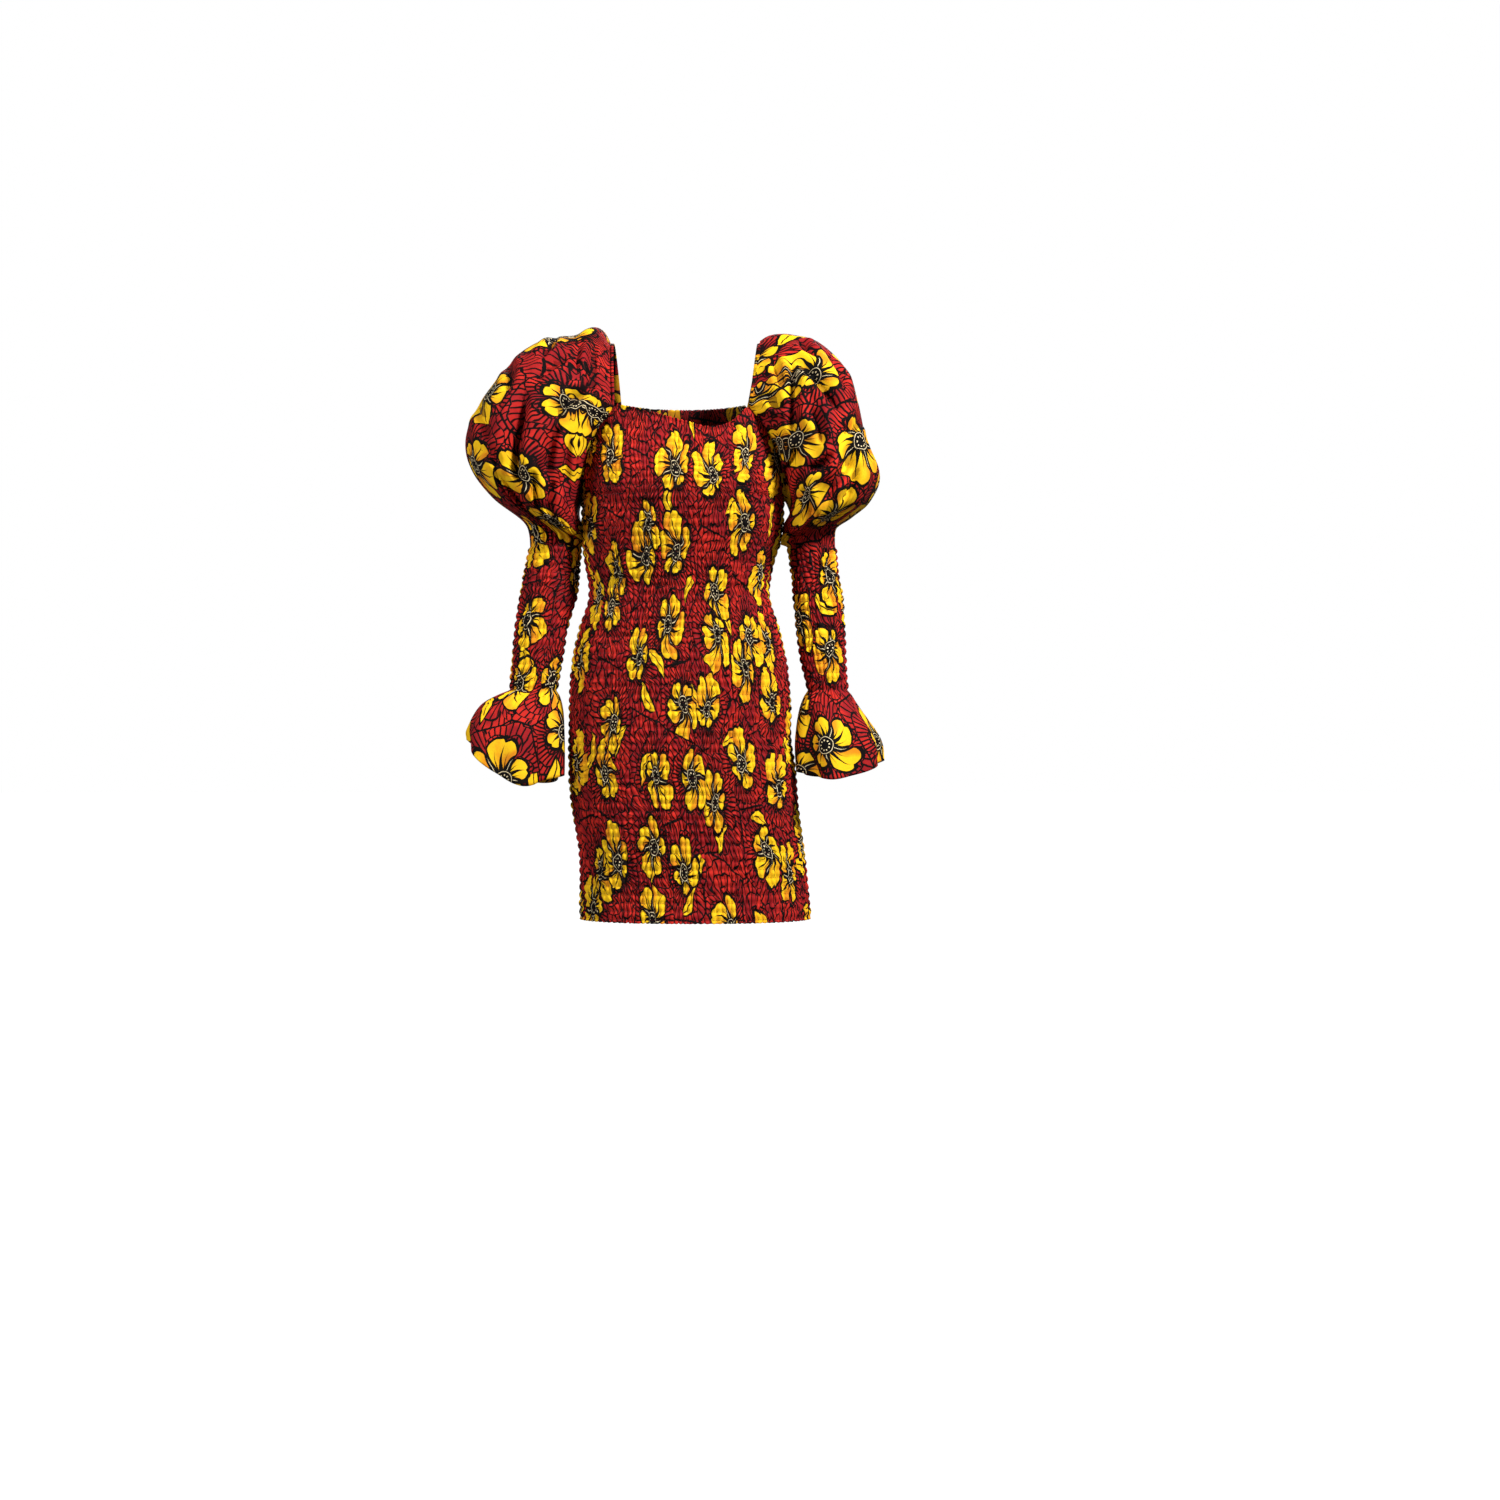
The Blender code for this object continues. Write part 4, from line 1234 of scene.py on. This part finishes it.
# A leaf: half its length and width, its bend, and its ink
LEAF_HALF_LENGTH = 0.027
LEAF_HALF_WIDTH = 0.0085
LEAF_BEND = 14
LEAF_RARITY = 0.66
LEAF_OUTLINE = 0.0017
LEAF_TIP = 0.03
LEAF_VEIN = 0.0009
LEAF_VEIN_TO = 0.018
LEAF_CLEARANCE = 0.001
# The cloth itself: noises of the hand-drawn lines, the uneven dye and the flecks, and its yarn
SHAKE_SCALE = 36.0
BLOTCH_SCALE = 24.0
FLECK_SCALE = 420.0
RED_LIGHTENS = (0.36, 0.66)
YELLOW_DEEPENS = (0.58, 0.98)
COTTON_ROUGHNESS = 0.68
FLECK_ROUGHNESS = 0.2
YARN_SPACING = 0.0009
Scatter = namedtuple("Scatter", "across along radius angle random tone edge")


def scatter(dye, across, along, strewn):
    """Motifs strewn over the cloth: where a point lies from the nearest one's middle, in metres.

    Each column of them starts STAGGER of a height above the one before.
    """
    width, height = strewn.width, strewn.height
    column_at = across / width + strewn.offset
    at = dye.place(column_at, along / height + column_at * STAGGER + strewn.offset)
    settings = {"voronoi_dimensions": "2D"}
    sockets = {"Vector": at, "Scale": 1.0, "Randomness": strewn.disorder}
    cell = dye.node("ShaderNodeTexVoronoi", {**settings, "feature": "F1"}, sockets)
    edge = dye.amount("ShaderNodeTexVoronoi", {**settings, "feature": "DISTANCE_TO_EDGE"}, sockets)
    ends = {0: at, 1: cell.outputs["Position"]}
    away = dye.node("ShaderNodeVectorMath", {"operation": "SUBTRACT"}, ends)
    parts = dye.node("ShaderNodeSeparateXYZ", (), {0: away.outputs[0]})
    tint = dye.node("ShaderNodeSeparateColor", (), {0: cell.outputs["Color"]})
    columns = Amount(dye, parts.outputs[0])
    across, along = columns * width, (Amount(dye, parts.outputs[1]) - columns * STAGGER) * height
    radius = (across * across + along * along) ** 0.5
    angle = along.math("ARCTAN2", across)
    random, tone = Amount(dye, tint.outputs[0]), Amount(dye, tint.outputs[1])
    return Scatter(across, along, radius, angle, random, tone, edge * min(width, height))


Blossom = namedtuple("Blossom", "spot past petal outline ink cream wash")


def open_blossom(dye, across, along):
    """Five petals round a dark heart, curled a little and longer on one side."""
    spot = scatter(dye, across, along, BLOSSOMS)
    handed = (spot.tone > 0.5) * 2 - 1
    turn = ((spot.angle + spot.radius * handed * PETAL_CURL) / (2 * math.pi) + spot.random) * PETALS
    which, side = turn.math("FLOOR") % PETALS, turn % 1.0
    within = abs(side - 0.5) * 2
    seed = dye.place(which, spot.tone * 17)
    luck = dye.amount("ShaderNodeTexWhiteNoise", {"noise_dimensions": "2D"}, {"Vector": seed})
    lean = (spot.angle - spot.random * (2 * math.pi)).math("COSINE")
    reach = (PETAL_LENGTH + luck * PETAL_LUCK) * (1 + lean * PETAL_LEAN)
    round_tip = (1 - within * within).math("SQRT")
    notch = (1 - within / NOTCH_WIDTH).math("MAXIMUM", 0.0)
    past = spot.radius - reach * (0.5 + 0.5 * round_tip - notch * NOTCH_DEPTH)
    petal = 1 - dye.rise(past, -INK_BLUR, INK_BLUR)
    share = spot.radius / reach

    def away_from(place):
        """How far a point lies from a line along the petal, at that place across it."""
        return spot.radius * (place * (math.pi / PETALS)).math("SINE")

    def narrowing(ends, half_width):
        return (1 - share / ends) * half_width

    gap_away = away_from(1 - within)
    vein = dye.line(away_from(within), narrowing(*VEIN))
    side_vein = dye.line(away_from(within - SIDE_VEIN_AT), narrowing(*SIDE_VEIN))
    gap = dye.line(gap_away, narrowing(*PETAL_GAP) + PETAL_GAP_LEAST)
    border = dye.line(spot.edge, BORDER)
    heart = 1 - dye.rise(spot.radius, *HEART_EDGE)
    ink = vein
    for part in (side_vein, gap, border, heart):
        ink = ink.math("MAXIMUM", part)
    ring = dye.line(spot.radius - HEART_RING_AT, CREAM_LINE, FINE_BLUR)
    seeds = dye.line(spot.radius - SEEDS_AT, SEED) * ((spot.angle * SEEDS).math("SINE") > SEED_SHARE)
    beyond_heart = spot.radius > HEART_EDGE[1]
    thin = dye.line(gap_away, CREAM_LINE, FINE_BLUR) * (share < CREAM_LINE_TO) * beyond_heart
    cream = ring.math("MAXIMUM", seeds).math("MAXIMUM", thin)
    outline = dye.line(past - OUTLINE_AT, OUTLINE)
    deeper = dye.rise(side, *WASHED_SIDE) * SIDE_WASH + (1 - share) * HEART_WASH
    wash = deeper + luck * LUCK_WASH
    return Blossom(spot, past, petal, outline, ink, cream, wash)


def rayed_bands(dye, blossom):
    """The red ground's ink: scalloped bands of rays, one round the other, about each blossom."""
    spot = blossom.spot
    scallops = abs((spot.angle * SCALLOPS + spot.tone * 9).math("SINE")) * SCALLOP_DEPTH
    from_petals = blossom.past - scallops - BAND_GAP
    band = (from_petals / BAND_WIDTH).math("FLOOR")
    rays = (spot.angle * (RAYS / 2) + band * (math.pi / 2)).math("SINE") * spot.radius * (2 / RAYS)
    fine = dye.line(rays, RAY)
    contour = dye.line(from_petals % BAND_WIDTH - BAND_LINE_AT, BAND_LINE)
    return fine, contour.math("MAXIMUM", dye.line(spot.edge, BAND_LINE))


def leaves(dye, across, along):
    """Pointed leaves strewn under the blossoms, each turned its own way, and their ink."""
    spot = scatter(dye, across, along, LEAVES)
    turned = spot.random * (2 * math.pi)
    cosine, sine = turned.math("COSINE"), turned.math("SINE")
    long = spot.across * cosine + spot.along * sine
    bent = spot.along * cosine - spot.across * sine - long * long * LEAF_BEND
    past = abs(bent) - (1 - (long / LEAF_HALF_LENGTH) ** 2) * LEAF_HALF_WIDTH
    there = (spot.tone > LEAF_RARITY) * (spot.edge > LEAF_CLEARANCE)
    leaf = (1 - dye.rise(past, -INK_BLUR, INK_BLUR)) * there
    rim = dye.line(past - OUTLINE_AT, LEAF_OUTLINE) * (abs(long) < LEAF_TIP) * there
    vein = dye.line(bent, LEAF_VEIN) * (long < LEAF_VEIN_TO) * leaf
    return leaf, rim.math("MAXIMUM", vein)


def printed_cotton():
    """Waxed cotton print: open yellow blossoms and leaves on red, banded with fine dark rays."""
    dye = Dye("printed cotton")
    cloth = dye.node("ShaderNodeUVMap", {"uv_map": "cloth"}).outputs[0]
    parts = dye.node("ShaderNodeSeparateXYZ", (), {0: cloth})
    waves = {"Vector": cloth, "Scale": SHAKE_SCALE, "Detail": 2.0}
    drawn = dye.node("ShaderNodeTexNoise", {"noise_dimensions": "2D"}, waves)
    shake = dye.node("ShaderNodeSeparateColor", (), {0: drawn.outputs["Color"]})
    across, along = [
        Amount(dye, parts.outputs[k]) / PRINT_SIZE + (Amount(dye, shake.outputs[k]) - 0.5) * HAND_SHAKE
        for k in (0, 1)
    ]
    blotch = dye.noise(cloth, BLOTCH_SCALE, 4.0)
    fleck = dye.noise(cloth, FLECK_SCALE, 2.0)

    blossom = open_blossom(dye, across, along)
    fine, contour = rayed_bands(dye, blossom)
    leaf, leaf_ink = leaves(dye, across, along)
    ground = dye.colour(dye.rise(blotch, *RED_LIGHTENS), DEEP_RED, RED)
    ground = dye.colour(fine, ground, MAROON)
    ground = dye.colour(contour, ground, INK)
    gold = dye.colour(dye.rise(blotch + blossom.wash, *YELLOW_DEEPENS), YELLOW, ORANGE)
    ground = dye.colour(leaf, ground, gold)
    ground = dye.colour(leaf_ink, ground, INK)
    flower = dye.colour(blossom.ink, gold, INK)
    flower = dye.colour(blossom.cream, flower, CREAM)
    base = dye.colour(blossom.petal, ground, flower)
    base = dye.colour(blossom.outline, base, INK)
    # The cloth's flecks and the painted shade of the reverse side, multiplied into the print
    flecked_and_shaded = dye.node("ShaderNodeMix", {"data_type": "RGBA", "blend_type": "MULTIPLY"}, {0: 1.0, 6: base})
    tone = dye.colour(fleck, FLECK_TONE, WHITE)
    reverse = dye.node("ShaderNodeAttribute", {"attribute_name": "reverse"}).outputs["Fac"]
    tone = dye.colour(reverse, tone, REVERSE_PAINTED_SHADE)
    dye.give(flecked_and_shaded.inputs[7], tone)
    dye.give(dye.shader.inputs["Base Color"], flecked_and_shaded.outputs[2])
    dye.give(dye.shader.inputs["Roughness"], fleck * FLECK_ROUGHNESS + COTTON_ROUGHNESS)

    warp, weft = [
        (Amount(dye, parts.outputs[k]) * (2 * math.pi / YARN_SPACING)).math("SINE") for k in (0, 1)
    ]
    height = warp * weft * 0.5 + fleck * 0.9
    bump = dye.node("ShaderNodeBump", (), {"Strength": 0.22, "Distance": 0.0003, "Height": height})
    dye.give(dye.shader.inputs["Normal"], bump.outputs[0])
    dye.shine(Specular_IOR_Level=0.09)
    return dye.material


def sewing_thread():
    """Spun polyester thread, twisted and a little glossy."""
    dye = Dye("sewing thread")
    where = dye.node("ShaderNodeTexCoord").outputs["Object"]
    twist = dye.amount("ShaderNodeTexNoise", {}, {"Vector": where, "Scale": 900.0, "Detail": 1.0})
    dye.give(dye.shader.inputs["Base Color"], dye.colour(twist, THREAD_DARK, THREAD_LIGHT))
    bump = dye.node("ShaderNodeBump", (), {"Strength": 0.3, "Distance": 0.0002, "Height": twist})
    dye.give(dye.shader.inputs["Normal"], bump.outputs[0])
    dye.shine(Roughness=0.45, Specular_IOR_Level=0.4)
    return dye.material


# Stitches


# Sizes of the stitches in metres
STITCH_PITCH = 0.0036
STITCH_LENGTH = 0.0026
THREAD_WIDTH = 0.0006


def stitch_tree(thread):
    """Geometry nodes that set short stitches along lines, and name their sizes."""
    tree = bpy.data.node_groups.new("stitches along a row", "GeometryNodeTree")
    sides = tree.interface
    sides.new_socket("Rows", in_out="INPUT", socket_type="NodeSocketGeometry")
    sizes = {"Pitch": STITCH_PITCH, "Stitch length": STITCH_LENGTH, "Thread width": THREAD_WIDTH}
    for name, size in sizes.items():
        socket = sides.new_socket(name, in_out="INPUT", socket_type="NodeSocketFloat")
        socket.default_value = size
    sides.new_socket("Stitches", in_out="OUTPUT", socket_type="NodeSocketGeometry")
    new, link = tree.nodes.new, tree.links.new
    start, end = new("NodeGroupInput"), new("NodeGroupOutput")
    curve = new("GeometryNodeMeshToCurve")
    spaced = new("GeometryNodeCurveToPoints")
    spaced.mode = "LENGTH"
    aligned = new("FunctionNodeAlignRotationToVector")
    aligned.axis = "Z"
    bead = new("GeometryNodeMeshUVSphere")
    bead.inputs["Segments"].default_value = 4
    bead.inputs["Rings"].default_value = 2
    bead.inputs["Radius"].default_value = 0.5
    scale = new("ShaderNodeCombineXYZ")
    place = new("GeometryNodeInstanceOnPoints")
    whole = new("GeometryNodeRealizeInstances")
    dyed = new("GeometryNodeSetMaterial")
    dyed.inputs["Material"].default_value = thread
    link(start.outputs["Rows"], curve.inputs[0])
    link(curve.outputs[0], spaced.inputs[0])
    link(start.outputs["Pitch"], spaced.inputs["Length"])
    link(spaced.outputs["Tangent"], aligned.inputs["Vector"])
    link(start.outputs["Thread width"], scale.inputs[0])
    link(start.outputs["Thread width"], scale.inputs[1])
    link(start.outputs["Stitch length"], scale.inputs[2])
    link(spaced.outputs["Points"], place.inputs["Points"])
    link(bead.outputs[0], place.inputs["Instance"])
    link(aligned.outputs[0], place.inputs["Rotation"])
    link(scale.outputs[0], place.inputs["Scale"])
    link(place.outputs[0], whole.inputs[0])
    link(whole.outputs[0], dyed.inputs[0])
    link(dyed.outputs[0], end.inputs[0])
    return tree


def stitches(name, lines, closed, tree, pitch):
    """Rows of stitches along those lines, as one plain mesh."""
    points, edges = [], []
    for line in lines:
        first, count = len(points), len(line)
        points += (np.asarray(line) * MM).tolist()
        edges += [(first + i, first + i + 1) for i in range(count - 1)]
        if closed:
            edges.append((first + count - 1, first))
    data = bpy.data.meshes.new(name + "_lines")
    data.from_pydata(points, edges, [])
    lines_obj = bpy.data.objects.new(name + "_lines", data)
    bpy.context.scene.collection.objects.link(lines_obj)
    modifier = lines_obj.modifiers.new("stitches", "NODES")
    modifier.node_group = tree
    for item in tree.interface.items_tree:
        if item.name == "Pitch":
            modifier[item.identifier] = pitch
    graph = bpy.context.evaluated_depsgraph_get()
    made = bpy.data.meshes.new_from_object(lines_obj.evaluated_get(graph))
    made.name = name
    bpy.data.objects.remove(lines_obj)
    obj = bpy.data.objects.new(name, made)
    bpy.context.scene.collection.objects.link(obj)
    return obj


# The studio


# Places and sizes in metres, power in watts
CAMERA_AT = (0.0886, -3.0, -0.561)
LENS_MM = 52.0
SENSOR_MM = 36.0
Lamp = namedtuple("Lamp", "name place size power")
LAMPS = [
    Lamp("key", (2.0, -1.9, 1.8), 0.7, 205),
    Lamp("fill", (-2.3, -1.6, 0.7), 1.0, 52),
    Lamp("back", (0.2, 2.6, 1.4), 1.6, 60),
]
LAMPS_AIM = (0.0, 0.0, -0.4)
FLOOR_Z = -1.42
FLOOR_HALF = 40.0
FLOOR_DARK = (0.9, 0.9, 0.9, 1)
FLOOR_LIGHT = (0.94, 0.94, 0.94, 1)
SOFT_GLOW = 0.2


def studio():
    """A camera at the photograph's angle, a plain pale floor and soft light."""
    camera = bpy.data.cameras.new("camera")
    camera.lens, camera.sensor_width = LENS_MM, SENSOR_MM
    eye = bpy.data.objects.new("camera", camera)
    eye.location = CAMERA_AT
    eye.rotation_euler = (math.pi / 2, 0, 0)
    bpy.context.scene.collection.objects.link(eye)
    bpy.context.scene.camera = eye

    bpy.context.scene.view_settings.view_transform = "Standard"
    world = bpy.data.worlds.new("studio")
    world.use_nodes = True
    tree = world.node_tree
    seen, glow = tree.nodes["Background"], tree.nodes.new("ShaderNodeBackground")
    seen.inputs[0].default_value = glow.inputs[0].default_value = WHITE
    seen.inputs[1].default_value, glow.inputs[1].default_value = 1.0, SOFT_GLOW
    rays, either = tree.nodes.new("ShaderNodeLightPath"), tree.nodes.new("ShaderNodeMixShader")
    tree.links.new(rays.outputs["Is Camera Ray"], either.inputs[0])
    tree.links.new(glow.outputs[0], either.inputs[1])
    tree.links.new(seen.outputs[0], either.inputs[2])
    tree.links.new(either.outputs[0], tree.nodes["World Output"].inputs[0])
    bpy.context.scene.world = world

    def soft_light(name, place, size, power):
        light = bpy.data.lights.new(name, "AREA")
        light.shape, light.size, light.energy = "DISK", size, power
        lamp = bpy.data.objects.new(name, light)
        lamp.location = place
        toward = np.array(LAMPS_AIM) - np.array(place)
        yaw = math.atan2(toward[1], toward[0]) - math.pi / 2
        pitch = math.atan2(toward[2], math.hypot(toward[0], toward[1])) + math.pi / 2
        lamp.rotation_euler = (pitch, 0, yaw)
        bpy.context.scene.collection.objects.link(lamp)

    for lamp in LAMPS:
        soft_light(*lamp)

    floor = bmesh.new()
    bmesh.ops.create_grid(floor, x_segments=1, y_segments=1, size=FLOOR_HALF)
    bmesh.ops.translate(floor, vec=(0, 0, FLOOR_Z), verts=floor.verts[:])
    data = bpy.data.meshes.new("floor")
    floor.to_mesh(data)
    floor.free()
    pale = Dye("pale floor")
    grain = pale.noise(pale.node("ShaderNodeTexCoord").outputs["Object"], 3.0)
    pale.give(pale.shader.inputs["Base Color"], pale.colour(grain, FLOOR_DARK, FLOOR_LIGHT))
    pale.shine(Roughness=0.8, Emission_Color=WHITE, Emission_Strength=0.9)
    data.materials.append(pale.material)
    ground = bpy.data.objects.new("floor", data)
    ground.visible_diffuse = ground.visible_glossy = False
    bpy.context.scene.collection.objects.link(ground)


def main():
    studio()
    cotton = printed_cotton()
    tree = stitch_tree(sewing_thread())
    made = [
        (FRONT.name, shirred_panel(FRONT, cotton), "gathered", False),
        (BACK.name, shirred_panel(BACK, cotton), "gathered", False),
        (LEFT.name, puff_sleeve(LEFT, cotton), "gathered", True),
        (RIGHT.name, puff_sleeve(RIGHT, cotton), "gathered", True),
    ]
    for node, piece, held, closed in made:
        sewn = stitches(node + "_stitches", piece.threads, closed, tree, STITCH_PITCH)
        for obj in (piece.obj, sewn):
            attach(obj, "root")
            node + "_cloth"
        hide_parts(node)


main()
